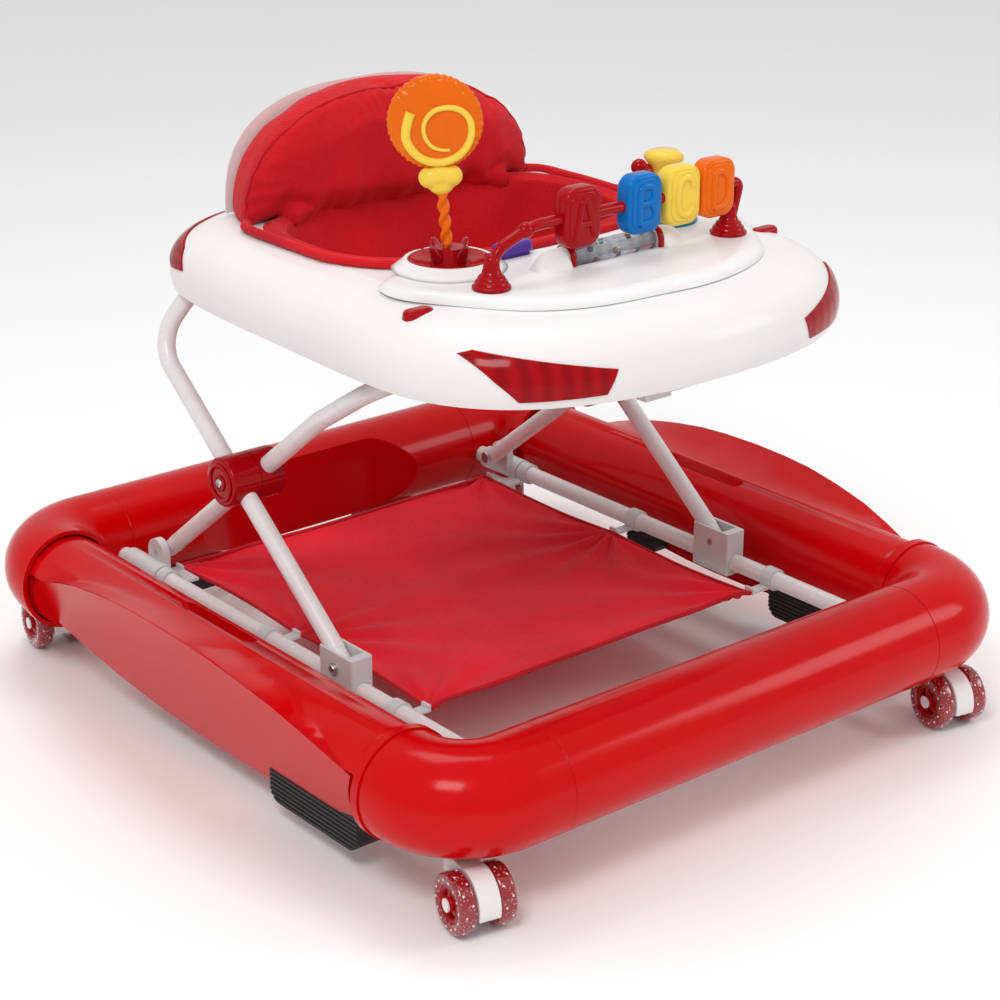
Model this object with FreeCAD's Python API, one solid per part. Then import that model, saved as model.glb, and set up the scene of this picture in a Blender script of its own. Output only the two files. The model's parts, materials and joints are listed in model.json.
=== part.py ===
"""Baby walker: a wheeled base of moulded tubes, a crossed-leg height frame and a tray with seat and toys.

Millimetres, +Z up, the child faces -Y. The origin is on the floor under the middle of the base.
Each solid is written to parts/NODE.step.
"""
import FreeCAD, Part
import math
import os

V = FreeCAD.Vector
X_AXIS = V(1, 0, 0)
Y_AXIS = V(0, 1, 0)
Z_AXIS = V(0, 0, 1)

# base ring of moulded tubes
RAIL_Z = 97.0           # height of the moulded tubes' centre line
RAIL_R = 45.0
WALL = 2.5
RAIL_Y = 316.0           # front and rear tubes
SIDE_X = 288.0           # side tubes
BEND_R = 54.0
RAIL_END_X = 205.0       # seam between a cross rail and its corner
MOUTH_Y = 250.0          # rim of a corner's mouth
SCOOP_HALF = 132.0       # hand scoop on the inner side of a cross rail
SCOOP_DEPTH = 22.0
NECK_R = 41.0

# rocker plate on each side rail: half profiles of height over y, outer face then inner face
PLATE_X = 318.0          # the plate passes here at PLATE_Z and leans outwards
PLATE_Z = 90.0
PLATE_LEAN = 0.40
PLATE_TOP = [(0, 152), (75, 149), (150, 137), (212, 118), (240, 106)]
PLATE_LOW = [(0, 28), (80, 31), (165, 42), (212, 56), (240, 68)]
WEB_TOP = [(0, 135), (75, 134), (150, 130), (212, 117), (236, 108)]
WEB_LOW = [(0, 55), (80, 57), (165, 61), (212, 70), (236, 78)]
SLOT_X = 281.0
PAD_X = (274.0, 302.0)
PAD_Y = 152.0
PAD_HALF = 60.0
PAD_LOW = 20.0

# steel tubes
TUBE_R = 8.0
TUBE_WALL = 1.2
STEEL_X = 215.0          # straight side tubes, and outer legs above them
STEEL_Z = 94.0
STEEL_HALF = 292.0
LEG_B_X = 193.0          # inner legs
PIVOT_Z = 110.0          # both lower leg pivots
REAR_PIVOT_Y = 226.0
HUB_Y = 73.0
HUB_Z = 230.0
SLIDER_Y = 2 * HUB_Y - REAR_PIVOT_Y
PIN_R = 3.0
RUN_GAP = 0.05           # radial clearance of a pin in its hole
SLIDE_GAP = 0.3
CLIP_Y = (-152.0, 33.0, 197.0)
MAT_Z = STEEL_Z - 7.0
MAT_REAR_Y = 228.0
LEG_A_KNEE = (STEEL_X, 193.0)
TRAY_PIVOT = (166.0, 385.0)
LEG_A_TOP_X = 180.0
LEG_B_KNEE_Y = -20.0
LEG_B_BAR = (-105.0, 356.0)
HUB_R = 22.0

# casters
CASTER_X = 269.0
CASTER_Y = 299.0
WHEEL_R = 25.0
WHEEL_W = 15.0
TRAIL = 28.0
HOOD_W = 18.0
STEM_R = 6.0
STEM_TOP = 72.0
BOSS_Z = 51.2
CASTER_TURN = {"front_left": -12.0, "front_right": -12.0, "rear_left": 160.0, "rear_right": 172.0}

# tray
RIM_Z = 370.0
TOP_Z = 430.0
TRAY_WALL = 3.0
TRAY_MID_Y = -27.0
TRAY_HALF = [(0, -292), (66, -288), (127, -273), (176, -245), (206, -208), (220, -165), (223, -118),
             (221, -45), (217, 63), (209, 145), (192, 196), (157, 223), (100, 235), (0, 239)]
HOLE_X = 165.0
HOLE_FRONT = -75.0
HOLE_REAR = 150.0
HOLE_CORNER = 100.0
CONSOLE_HALF = [(0, -243), (85, -232), (134, -203), (165, -160), (186, -112), (174, -82), (140, -76),
                (85, -86), (0, -92)]
CONSOLE_Z = 438.0

# seat back
BACK_FRONT_Y = 122.0
BACK_REAR_Y = 180.0
BACK_HALF_FRONT = 158.0
BACK_HALF_REAR = 141.0
BACK_RISE = 110.0        # from the tray's top to the top of the pad
BACK_POWER = 2.7         # squareness of the pad's outline
SHELL_T = 4.0
BACK_DROP = 9.0          # how far the pad's lower roll hangs into the seat hole
SEAT_LOW = 335.0
LEG_HOLE_X = 57.0
LEG_HOLE_Y = 8.0
LEG_HOLE_R = 32.0

# toys
BAR_Y = -166.0
BAR_Z = 481.0
BAR_R = 4.5
BAR_BASE_X = 128.0
BAR_TOP_X = 139.0        # the right post leans out to here
BEAD_SIZE = (38.0, 24.0, 50.0)
BEAD_X = {"a": -40.0, "b": 26.0, "c": 69.0, "d": 108.5}
ROLLER_Y = -152.0
ROLLER_Z = 444.0
ROLLER_R = 9.5
ROLLER_X = (-36.0, 51.0)
LOLLY_X = -116.0
LOLLY_Y = -98.0
LOLLY_Z = 556.0
LOLLY_R = 38.0
LOLLY_FACE = -39.0       # degrees that the disc is turned about +Z from facing -Y
LOLLY_LEAN = 5.0         # degrees that the stem leans to the child's rear right
SPIN_X = 116.0
SPIN_Y = -98.0
SPIN_Z = 483.0
SQUEAK_X = -56.0
SQUEAK_Y = -104.0
LATCH_X = 188.0
LATCH_Y = -150.0
LATCH_TOP = 430.0
LATCH_R = 7.0
LATCH_EXTRA = 6.0


def save(name, *solids):
    shape = solids[0] if len(solids) == 1 else Part.makeCompound(list(solids))
    shape.exportStep("parts/%s.step" % name)


def box(x, y, z):
    return Part.makeBox(x[1] - x[0], y[1] - y[0], z[1] - z[0], V(x[0], y[0], z[0]))


def rod(start, axis, radius, length):
    return Part.makeCylinder(radius, length, start, axis)


def ring(start, axis, outer, inner, length):
    return rod(start, axis, outer, length).cut(rod(start, axis, inner, length))


def mirrored(shape):
    return shape.mirror(V(0, 0, 0), X_AXIS)


def fused(first, *rest):
    return first.fuse(list(rest)).removeSplitter()


def closed_spline(points):
    curve = Part.BSplineCurve()
    curve.interpolate([V(*p) for p in points], PeriodicFlag=True)
    return Part.Wire([curve.toShape()])


def arc_path(points, radii):
    """Straight runs joined by tangent arcs; radii are those of the inner points."""
    pts = [V(*p) for p in points]
    edges = []
    start = pts[0]
    for i, radius in enumerate(radii, start=1):
        back = (pts[i - 1] - pts[i]).normalize()
        ahead = (pts[i + 1] - pts[i]).normalize()
        half = back.getAngle(ahead) / 2
        reach = radius / math.tan(half)
        first = pts[i] + back * reach
        last = pts[i] + ahead * reach
        centre = pts[i] + (back + ahead).normalize() * (radius / math.sin(half))
        middle = centre + (pts[i] - centre).normalize() * radius
        edges.append(Part.LineSegment(start, first).toShape())
        edges.append(Part.Arc(first, middle, last).toShape())
        start = last
    edges.append(Part.LineSegment(start, pts[-1]).toShape())
    return Part.Wire(edges)


def pipe(path, radius):
    edge = path.Edges[0]
    tangent = edge.tangentAt(edge.FirstParameter)
    profile = Part.Wire([Part.Circle(edge.valueAt(edge.FirstParameter), tangent, radius).toShape()])
    return path.makePipeShell([profile], True, False)


def bent_tube(points, radii, radius, wall):
    path = arc_path(points, radii)
    return pipe(path, radius).cut(pipe(path, radius - wall))


def pill(x, y, radius, low, high, extra=11.0):
    """Upright prism, round-ended in plan, twice extra longer in x than it is wide."""
    reach = radius + extra
    block = box((x - reach, x + reach), (y - radius, y + radius), (low, high))
    upright = [e for e in block.Edges if abs(e.tangentAt(e.FirstParameter).z) > 0.9]
    return block.makeFillet(radius - 0.1, upright)


def both_sides(half):
    """Closed outline from the x >= 0 half, whose first and last points are on x = 0."""
    return half + [(-x, y) for x, y in reversed(half[1:-1])]


# ---- base -------------------------------------------------------------------------------------

def steel_rails():
    tube = ring(V(STEEL_X, -STEEL_HALF, STEEL_Z), Y_AXIS, TUBE_R, TUBE_R - TUBE_WALL, 2 * STEEL_HALF)
    save("side_tube_right", mirrored(tube))
    save("side_tube_left", tube)


def steel_rail_core(x):
    return rod(V(x, -STEEL_HALF, STEEL_Z), Y_AXIS, TUBE_R, 2 * STEEL_HALF)


def front_left_corner():
    path = arc_path([(RAIL_END_X, -RAIL_Y, RAIL_Z), (SIDE_X, -RAIL_Y, RAIL_Z), (SIDE_X, -MOUTH_Y, RAIL_Z)],
                    [BEND_R])
    boss = rod(V(CASTER_X, -CASTER_Y, BOSS_Z), Z_AXIS, 15, STEM_TOP + 4 - BOSS_Z)
    collar = ring(V(SIDE_X, -MOUTH_Y - 8, RAIL_Z), Y_AXIS, RAIL_R + 1.5, RAIL_R - WALL, 8)
    shell = pipe(path, RAIL_R).cut(pipe(path, RAIL_R - WALL))
    shell = fused(shell, boss, collar)
    shell = shell.cut(rod(V(CASTER_X, -CASTER_Y, BOSS_Z), Z_AXIS, STEM_R + RUN_GAP, STEM_TOP + 1 - BOSS_Z))
    return shell.cut(steel_rail_core(STEEL_X))


def corners():
    corner = front_left_corner()
    back = corner.mirror(V(0, 0, 0), Y_AXIS)
    save("corner_front_left", corner)
    save("corner_front_right", mirrored(corner))
    save("corner_rear_left", back)
    save("corner_rear_right", mirrored(back))


def scoop(grow):
    """Space taken out of the inner side of the front rail, grown towards the rail's centre."""
    near = -RAIL_Y + RAIL_R - SCOOP_DEPTH - grow
    far = -RAIL_Y + RAIL_R + 1
    ramp = 46.0
    half = SCOOP_HALF + grow
    plan = [V(-half, far, 0), V(-half + ramp, near, 0), V(half - ramp, near, 0), V(half, far, 0)]
    face = Part.Face(Part.makePolygon(plan + [plan[0]]))
    prism = face.extrude(V(0, 0, 2 * RAIL_R + 2))
    prism.translate(V(0, 0, RAIL_Z - RAIL_R - 1))
    long_edges = [e for e in prism.Edges if abs(e.tangentAt(e.FirstParameter).z) > 0.9 and
                  abs(e.CenterOfMass.y - near) < 1]
    return prism.makeFillet(40, long_edges)


def cross_rails():
    start = V(-RAIL_END_X, -RAIL_Y, RAIL_Z)
    outer = rod(start, X_AXIS, RAIL_R, 2 * RAIL_END_X)
    rims = [e for e in outer.Edges if e.Curve.TypeId == "Part::GeomCircle"]
    outer = outer.makeFillet(1.2, rims).cut(scoop(0))
    inner = rod(start, X_AXIS, RAIL_R - WALL, 2 * RAIL_END_X).cut(scoop(WALL))
    rail = outer.cut(inner)
    save("front_rail", rail)
    save("rear_rail", rail.mirror(V(0, 0, 0), Y_AXIS))


def lens_wire(top, low, base_x, lean, inset):
    """Closed outline with blunt ends, from half profiles of upper and lower heights over y."""
    scale = 1 - inset / top[-1][0]

    def edge(profile, shift, way):
        half = [(way * y * scale, z + shift) for y, z in profile]
        full = [(-y, z) for y, z in reversed(half[1:])] + half
        curve = Part.BSplineCurve()
        curve.interpolate([V(base_x + lean * (z - PLATE_Z), y, z) for y, z in full])
        return curve.toShape()

    upper = edge(top, -inset, 1)
    lower = edge(low, inset, -1)
    rear = Part.LineSegment(upper.Vertexes[-1].Point, lower.Vertexes[0].Point).toShape()
    front = Part.LineSegment(lower.Vertexes[-1].Point, upper.Vertexes[0].Point).toShape()
    return Part.Wire([upper, rear, lower, front])


def rocker_body(inset):
    outline = lens_wire(PLATE_TOP, PLATE_LOW, PLATE_X - inset, PLATE_LEAN, inset)
    inside = lens_wire(WEB_TOP, WEB_LOW, SIDE_X, 0, inset)
    body = Part.makeLoft([inside, outline], True, False)
    reach = MOUTH_Y + 4 - inset
    neck = rod(V(SIDE_X, -reach, RAIL_Z), Y_AXIS, NECK_R - inset, 2 * reach)
    return body.fuse(neck)


def grip_slot(grow):
    low = RAIL_Z + NECK_R - 14 - grow
    slot = box((SLOT_X - 7 - grow, SLOT_X + 7 + grow), (-44 - grow, 60 + grow), (low, 160))
    corners_up = [e for e in slot.Edges if abs(e.tangentAt(e.FirstParameter).z) > 0.9]
    return slot.makeFillet(6.9 + grow, corners_up)


def ridged(block, low_ends, start, step, count):
    """Rounds a rubber block's lower ends and cuts grooves along y into both of its long sides."""
    block = block.makeFillet(12, low_ends)
    bounds = block.BoundBox
    for i in range(count):
        z = start + i * step
        for x in (bounds.XMin, bounds.XMax):
            block = block.cut(box((x - 1, x + 1), (bounds.YMin - 1, bounds.YMax + 1), (z, z + 1.6)))
    return block


def brake_pads(rail):
    """Ridged rubber blocks under the side rail, shaped to sit against it."""
    pads = []
    for middle in (-PAD_Y, PAD_Y):
        block = box(PAD_X, (middle - PAD_HALF, middle + PAD_HALF), (PAD_LOW, 80))
        low_ends = [e for e in block.Edges if abs(e.CenterOfMass.z - PAD_LOW) < 0.1 and
                    abs(abs(e.CenterOfMass.y - middle) - PAD_HALF) < 0.1]
        rest = ridged(block, low_ends, PAD_LOW + 3, 4, 7).cut(rail).Solids
        pads.append(min(rest, key=lambda s: s.BoundBox.ZMin))
    return pads


def rail_pad():
    """Ridged rubber block under the rear rail."""
    block = box((-30, 30), (-14, 14), (PAD_LOW, 80))
    low_ends = [e for e in block.Edges if abs(e.CenterOfMass.z - PAD_LOW) < 0.1 and abs(e.CenterOfMass.y) < 1]
    block = block.makeFillet(10, low_ends)
    block.translate(V(118, RAIL_Y, 0))
    return block.cut(rod(V(80, RAIL_Y, RAIL_Z), X_AXIS, RAIL_R, 80))


def side_rails():
    full = rocker_body(0)
    shell = full.cut(grip_slot(0)).cut(rocker_body(WALL).cut(grip_slot(WALL)))
    save("side_rail_left", shell)
    save("side_rail_right", mirrored(shell))
    pads = brake_pads(full)
    rear_pad = rail_pad()
    save("brake_pads", rear_pad, mirrored(rear_pad), *(pads + [mirrored(p) for p in pads]))


def rear_joint():
    """Sleeve on the side tube with an ear that carries the inner leg's pivot pin."""
    inner = LEG_B_X + TUBE_R + 0.5
    outer = STEEL_X - 6
    sleeve = rod(V(STEEL_X, REAR_PIVOT_Y - 22, STEEL_Z), Y_AXIS, TUBE_R + 3.2, 56)
    ear = box((inner, outer), (REAR_PIVOT_Y - 13, REAR_PIVOT_Y + 13), (STEEL_Z, PIVOT_Z))
    crown = rod(V(inner, REAR_PIVOT_Y, PIVOT_Z), X_AXIS, 13, outer - inner)
    joint = fused(sleeve, ear, crown).cut(steel_rail_core(STEEL_X))
    return joint.cut(rod(V(LEG_B_X, REAR_PIVOT_Y, PIVOT_Z), X_AXIS, PIN_R, 30))


def rear_joints():
    joint = rear_joint()
    start = LEG_B_X - TUBE_R - 0.5
    pin = rod(V(start, REAR_PIVOT_Y, PIVOT_Z), X_AXIS, PIN_R, STEEL_X - 6 - start)
    head = rod(V(start - 2.5, REAR_PIVOT_Y, PIVOT_Z), X_AXIS, 5.5, 2.5)
    pin = fused(pin, head)
    save("rear_joints", joint, mirrored(joint))
    save("rear_pivot_pins", pin, mirrored(pin))


def mat_clip(y, hook_y):
    """Ring on the side tube with an arm that reaches in to the mat's edge at hook_y."""
    snap = ring(V(STEEL_X, y - 6, STEEL_Z), Y_AXIS, TUBE_R + 2.4, TUBE_R, 12)
    arm = box((185, STEEL_X - 7), (y - 5, y + 5), (MAT_Z, MAT_Z + 2.5))
    hook = box((185, 195), (min(y, hook_y) - 5, max(y, hook_y) + 5), (MAT_Z, MAT_Z + 2.5))
    lip = box((185, 187.5), (hook_y - 5, hook_y + 5), (MAT_Z, MAT_Z + 6))
    return fused(snap, arm, hook, lip).cut(steel_rail_core(STEEL_X))


def mat_and_clips():
    front, middle, rear = CLIP_Y
    clips = [mat_clip(front, front), mat_clip(middle, middle), mat_clip(rear, MAT_REAR_Y - 6)]
    save("mat_clips", *(clips + [mirrored(c) for c in clips]))
    half = [(0, front + 6), (130, front + 1), (184, front - 3), (184, front + 5), (173, (front + middle) / 2),
            (184, middle), (174, (middle + MAT_REAR_Y) / 2), (184, MAT_REAR_Y - 8), (184, MAT_REAR_Y),
            (130, MAT_REAR_Y - 3), (0, MAT_REAR_Y - 8)]
    points = [V(x, y, MAT_Z) for x, y in both_sides(half)]
    save("foot_mat", Part.Face(Part.makePolygon(points + points[:1])).extrude(V(0, 0, -2)))


# ---- casters ----------------------------------------------------------------------------------

def caster_fork():
    """At the origin of its swivel axis, wheels trailing towards -Y, axle along X."""
    half = HOOD_W / 2
    hood = rod(V(-half, -TRAIL, WHEEL_R), X_AXIS, WHEEL_R + 0.3, HOOD_W)
    hood = hood.common(box((-20, 20), (-60, 20), (WHEEL_R - 7, 60)))
    neck = box((-half, half), (-TRAIL, 9), (WHEEL_R + 8, 49.5))
    plate = rod(V(0, 0, 40), Z_AXIS, 11, BOSS_Z - 0.6 - 40)
    stem = rod(V(0, 0, 45), Z_AXIS, STEM_R, STEM_TOP - 45)
    axle_half = half + WHEEL_W + 1.2
    axle = rod(V(-axle_half, -TRAIL, WHEEL_R), X_AXIS, PIN_R, 2 * axle_half)
    caps = [rod(V(side * axle_half - 0.6, -TRAIL, WHEEL_R), X_AXIS, 5.5, 1.2) for side in (-1, 1)]
    return fused(hood, neck, plate, stem, axle, *caps)


def caster_wheel(side):
    start = HOOD_W / 2 + 0.3 if side > 0 else -HOOD_W / 2 - 0.3 - WHEEL_W
    wheel = rod(V(start, -TRAIL, WHEEL_R), X_AXIS, WHEEL_R, WHEEL_W)
    wheel = wheel.makeFillet(3.5, [e for e in wheel.Edges if e.Curve.TypeId == "Part::GeomCircle"])
    return wheel.cut(rod(V(start - 1, -TRAIL, WHEEL_R), X_AXIS, PIN_R + RUN_GAP, WHEEL_W + 2))


def casters():
    for place, turn in CASTER_TURN.items():
        at = V(CASTER_X if place.endswith("left") else -CASTER_X,
               -CASTER_Y if place.startswith("front") else CASTER_Y, 0)
        pieces = {"caster_fork": caster_fork(),
                  "wheel_inner": caster_wheel(-1),
                  "wheel_outer": caster_wheel(1)}
        for name, shape in pieces.items():
            shape.rotate(V(0, 0, 0), Z_AXIS, turn)
            shape.translate(at)
            save("%s_%s" % (name, place), shape)


# ---- crossed legs -----------------------------------------------------------------------------

def hub_line(y):
    """Height of the straight stretch of the outer leg at y; the inner leg mirrors it about the hub."""
    return HUB_Z + (y - HUB_Y) * (HUB_Z - PIVOT_Z) / (HUB_Y - SLIDER_Y)


def leg_solid(points, radii, end):
    half = bent_tube(points, radii, TUBE_R, TUBE_WALL)
    closing = []
    for side in (1, -1):
        centre = V(side * points[0][0], *end)
        plug = rod(centre, V(0, points[0][1] - end[0], points[0][2] - end[1]), TUBE_R - 0.5, 24)
        closing += [Part.makeSphere(TUBE_R - 0.5, centre), plug]
    leg = fused(half, *closing)
    return leg.cut(rod(V(-300, *end), X_AXIS, PIN_R + RUN_GAP, 600))


def legs():
    step = 14.0 / math.hypot(HUB_Y - SLIDER_Y, HUB_Z - PIVOT_Z)
    low_a = (SLIDER_Y + step * (HUB_Y - SLIDER_Y), PIVOT_Z + step * (HUB_Z - PIVOT_Z))
    low_b = (REAR_PIVOT_Y - step * (REAR_PIVOT_Y - HUB_Y), low_a[1])
    knee_x, knee_y = LEG_A_KNEE
    side_a = [(knee_x, *low_a), (knee_x, knee_y, hub_line(knee_y)), (LEG_A_TOP_X, *TRAY_PIVOT)]
    knee_b = (LEG_B_X, LEG_B_KNEE_Y, hub_line(2 * HUB_Y - LEG_B_KNEE_Y))
    side_b = [(LEG_B_X, *low_b), knee_b, (LEG_B_X, *LEG_B_BAR)]
    for name, side, bends, end in (("outer_leg_frame", side_a, [38, 24], (SLIDER_Y, PIVOT_Z)),
                                   ("inner_leg_frame", side_b, [150, 35], (REAR_PIVOT_Y, PIVOT_Z))):
        other = [(-x, y, z) for x, y, z in reversed(side)]
        leg = leg_solid(side + other, bends + bends[::-1], end)
        save(name, leg)


def hubs():
    split = (STEEL_X + LEG_B_X) / 2
    centre = V(split + SLIDE_GAP, HUB_Y, HUB_Z)
    outer = rod(centre, X_AXIS, HUB_R, STEEL_X + TUBE_R + 9 - centre.x)
    outer = outer.makeFillet(3, [e for e in outer.Edges if e.CenterOfMass.x > centre.x + 20])
    along = V(0, HUB_Y - SLIDER_Y, HUB_Z - PIVOT_Z)
    outer = outer.cut(rod(V(STEEL_X, HUB_Y, HUB_Z) - along, along, TUBE_R, 2 * along.Length))
    outer = outer.cut(rod(centre, X_AXIS, 7 + RUN_GAP, 2.6))
    start = V(LEG_B_X - TUBE_R - 5, HUB_Y, HUB_Z)
    inner = rod(start, X_AXIS, HUB_R, split - SLIDE_GAP - start.x)
    across = V(0, -along.y, along.z)
    inner = inner.cut(rod(V(LEG_B_X, HUB_Y, HUB_Z) - across, across, TUBE_R, 2 * across.Length))
    inner = fused(inner, rod(V(split - SLIDE_GAP, HUB_Y, HUB_Z), X_AXIS, 7, 2.8))
    save("hub_outer_clamps", outer, mirrored(outer))
    save("hub_inner_clamps", inner, mirrored(inner))


def sliders():
    half = 11.0
    front = SLIDER_Y - 24
    block = box((STEEL_X - half, STEEL_X + half), (front, SLIDER_Y + 22), (STEEL_Z - 11.5, PIVOT_Z + 14))
    upright = [e for e in block.Edges if abs(e.tangentAt(e.FirstParameter).z) > 0.9]
    block = block.makeFillet(2, upright)
    block = block.cut(rod(V(STEEL_X, front - 1, STEEL_Z), Y_AXIS, TUBE_R + SLIDE_GAP, 60))
    slot_half = TUBE_R + 0.4
    block = block.cut(box((STEEL_X - slot_half, STEEL_X + slot_half), (SLIDER_Y - 15, SLIDER_Y + 30),
                          (STEEL_Z + 4, PIVOT_Z + 20)))
    block = block.cut(rod(V(STEEL_X - 20, SLIDER_Y, PIVOT_Z), X_AXIS, PIN_R, 40))
    pin = rod(V(STEEL_X - half, SLIDER_Y, PIVOT_Z), X_AXIS, PIN_R, 2 * half)
    head = rod(V(STEEL_X + half, SLIDER_Y, PIVOT_Z), X_AXIS, 5, 2)
    pin = fused(pin, head)
    save("slider_left", block)
    save("slider_right", mirrored(block))
    save("slider_pins", pin, mirrored(pin))


# ---- tray -------------------------------------------------------------------------------------

def tray_section(shrink, z):
    """Tray outline at height z, its half width smaller by shrink."""
    widest = max(x for x, y in TRAY_HALF)
    long_half = (max(y for x, y in TRAY_HALF) - min(y for x, y in TRAY_HALF)) / 2
    points = []
    for x, y in both_sides(TRAY_HALF):
        from_middle = (y - TRAY_MID_Y) * (1 - shrink / long_half)
        points.append((x * (1 - shrink / widest), TRAY_MID_Y + from_middle, z))
    return closed_spline(points)


TRAY_PROFILE = [(0, 0), (-3, 16), (0, 32), (7, 43), (18, 51.5), (34, 57), (56, 60)]


def tray_body(inset):
    sections = [tray_section(s + inset, RIM_Z + h * (1 - inset / 60)) for s, h in TRAY_PROFILE]
    return Part.makeLoft(sections, True, False)


def seat_hole(grow, low, high):
    hole = box((-HOLE_X - grow, HOLE_X + grow), (HOLE_FRONT - grow, HOLE_REAR + grow), (low, high))
    upright = [e for e in hole.Edges if abs(e.tangentAt(e.FirstParameter).z) > 0.9]
    return hole.makeFillet(HOLE_CORNER + grow, upright)


def lamp(outline, axis, from_v, length):
    """Curved lens standing proud of the tray, cut by a prism through outline."""
    face = Part.Face(Part.makePolygon([V(*p) for p in outline + outline[:1]]))
    prism = face.extrude(axis * length)
    prism.translate(axis * from_v)
    return tray_body(-1.2).cut(tray_body(TRAY_WALL - 1.5)).common(prism)


def latch_guides():
    guide = pill(LATCH_X, LATCH_Y, LATCH_R + 0.35, RIM_Z + 30, TOP_Z + 10, LATCH_EXTRA)
    return [guide, mirrored(guide)]


def tray():
    outer = tray_body(0)
    cavity = tray_body(TRAY_WALL).cut(seat_hole(TRAY_WALL, 380, 500))
    floor_gap = box((-300, 300), (-400, 400), (RIM_Z - 5, RIM_Z + 0.4))
    shell = outer.cut(cavity).cut(seat_hole(0, 340, 500)).cut(floor_gap)
    front = [(101, 0, 397), (110, 0, 378), (172, 0, 377), (186, 0, 393), (198, 0, 411), (189, 0, 414)]
    head = lamp(front, Y_AXIS, -320, 200)
    rear = [(0, 152, 396), (0, 166, 412), (0, 200, 424), (0, 226, 424), (0, 214, 408), (0, 180, 393)]
    tail = lamp(rear, X_AXIS, 100, 150)
    lamps = [head, mirrored(head), tail, mirrored(tail)]
    shell = shell.cut(lamps + latch_guides())
    save("tray_shell", max(shell.Solids, key=lambda s: s.Volume))
    save("headlight_left", head)
    save("headlight_right", mirrored(head))
    save("tail_lights", tail, mirrored(tail))


def console():
    def section(shrink, z):
        middle = -160.0
        pts = [(x * (1 - shrink / 196), middle + (y - middle) * (1 - shrink / 80), z)
               for x, y in both_sides(CONSOLE_HALF)]
        return closed_spline(pts)

    rise = CONSOLE_Z - TOP_Z
    levels = [section(0, TOP_Z), section(2, TOP_Z + rise * 0.4), section(7, TOP_Z + rise * 0.8),
              section(15, CONSOLE_Z)]
    body = Part.makeLoft(levels, True, False)
    squeaker_bore = pill(SQUEAK_X, SQUEAK_Y, 6.3, TOP_Z + 4, TOP_Z + 40)
    left, right = ROLLER_X
    trough = rod(V(left - 1, ROLLER_Y, ROLLER_Z), X_AXIS, ROLLER_R + 1, right - left + 2)
    save("play_console", body.cut([squeaker_bore, trough] + latch_guides()))


def dome(half_width, rise, y):
    """Upright outline at y: a flat foot at the tray's top and a rounded crown."""
    points = []
    for i in range(25):
        a = math.pi * i / 24
        x = math.copysign(abs(math.cos(a)) ** (2 / BACK_POWER), math.cos(a))
        points.append(V(half_width * x, y, TOP_Z + 0.3 + rise * math.sin(a) ** (2 / BACK_POWER)))
    curve = Part.BSplineCurve()
    curve.interpolate(points)
    return Part.Wire([curve.toShape(), Part.LineSegment(points[-1], points[0]).toShape()])


def seat_back():
    levels = [dome(BACK_HALF_FRONT - 14, BACK_RISE - 10, BACK_FRONT_Y),
              dome(BACK_HALF_FRONT - 3, BACK_RISE - 2, BACK_FRONT_Y + 8),
              dome(BACK_HALF_FRONT - 3, BACK_RISE, BACK_FRONT_Y + 20),
              dome(BACK_HALF_REAR, BACK_RISE - 3, BACK_REAR_Y)]
    roll = box((-HOLE_X, HOLE_X), (BACK_FRONT_Y, HOLE_REAR), (TOP_Z - BACK_DROP, TOP_Z + 6))
    roll = roll.common(seat_hole(-1.5, 300, 500))
    save("backrest_pad", fused(Part.makeLoft(levels, True, False), roll))
    start = BACK_REAR_Y + 0.3
    front = dome(BACK_HALF_REAR + 5, BACK_RISE - 8, start)
    rear = dome(BACK_HALF_REAR + 3, BACK_RISE - 10, start + SHELL_T)
    save("back_shell", Part.makeLoft([front, rear], True, True))


def seat_pouch():
    """Cloth seat: a flange over the tray's hole, and a bag below it with two leg openings."""
    def oval(half_x, y0, y1, z):
        mid = (y0 + y1) / 2
        half_y = (y1 - y0) / 2
        pts = []
        for i in range(16):
            a = math.radians(22.5 * i)
            c = math.copysign(abs(math.cos(a)) ** 0.75, math.cos(a))
            s = math.copysign(abs(math.sin(a)) ** 0.75, math.sin(a))
            pts.append((half_x * c, mid + half_y * s, z))
        return closed_spline(pts)

    top = TOP_Z + 3.5

    def bag(t):
        lip = top + (0.5 if t else 0)
        levels = [oval(154 - t, -64 + t, 139 - t, lip), oval(150 - t, -58 + t, 134 - t, 408),
                  oval(140 - t, -50 + t, 127 - t, 372), oval(114 - t, -30 + t, 108 - t, SEAT_LOW + t)]
        return Part.makeLoft(levels, True, False)

    flange = seat_hole(7, TOP_Z + 0.3, top).cut(bag(3))
    under_pad = box((-400, 400), (BACK_FRONT_Y - 1, 300), (TOP_Z - BACK_DROP - 0.5, 500))
    pouch = fused(bag(0).cut(bag(3)), flange).cut(under_pad)
    for side in (-1, 1):
        pouch = pouch.cut(rod(V(side * LEG_HOLE_X, LEG_HOLE_Y, SEAT_LOW - 5), Z_AXIS, LEG_HOLE_R, 35))
    save("seat_pouch", max(pouch.Solids, key=lambda s: s.Volume))


def tray_hardware():
    y, z = TRAY_PIVOT
    saddles = []
    for x in (-128, 120):
        block = box((x, x + 8), (y - 12, y + 12), (z, TOP_Z - TRAY_WALL - 4))
        saddle = fused(block, rod(V(x, y, z), X_AXIS, 12, 8))
        saddles.append(saddle.cut(rod(V(x - 1, y, z), X_AXIS, TUBE_R + SLIDE_GAP, 10)))
    save("pivot_saddles", *saddles)
    top = TOP_Z - TRAY_WALL - 0.5
    rack = box((-24, 24), (-232, -88), (342, top)).cut(box((-20, 20), (-228, -80), (330, top - 4)))
    bar_y, bar_z = LEG_B_BAR
    rack = rack.cut(box((-40, 40), (bar_y - 58, -70), (bar_z - TUBE_R - 2.5, bar_z + TUBE_R + 6)))
    save("height_rack", rack)
    lever = fused(box((-19, 19), (-222, -172), (344, 349)), box((-14, 14), (-222, -210), (334, 346)))
    save("height_lever", lever)


# ---- toys -------------------------------------------------------------------------------------

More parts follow.
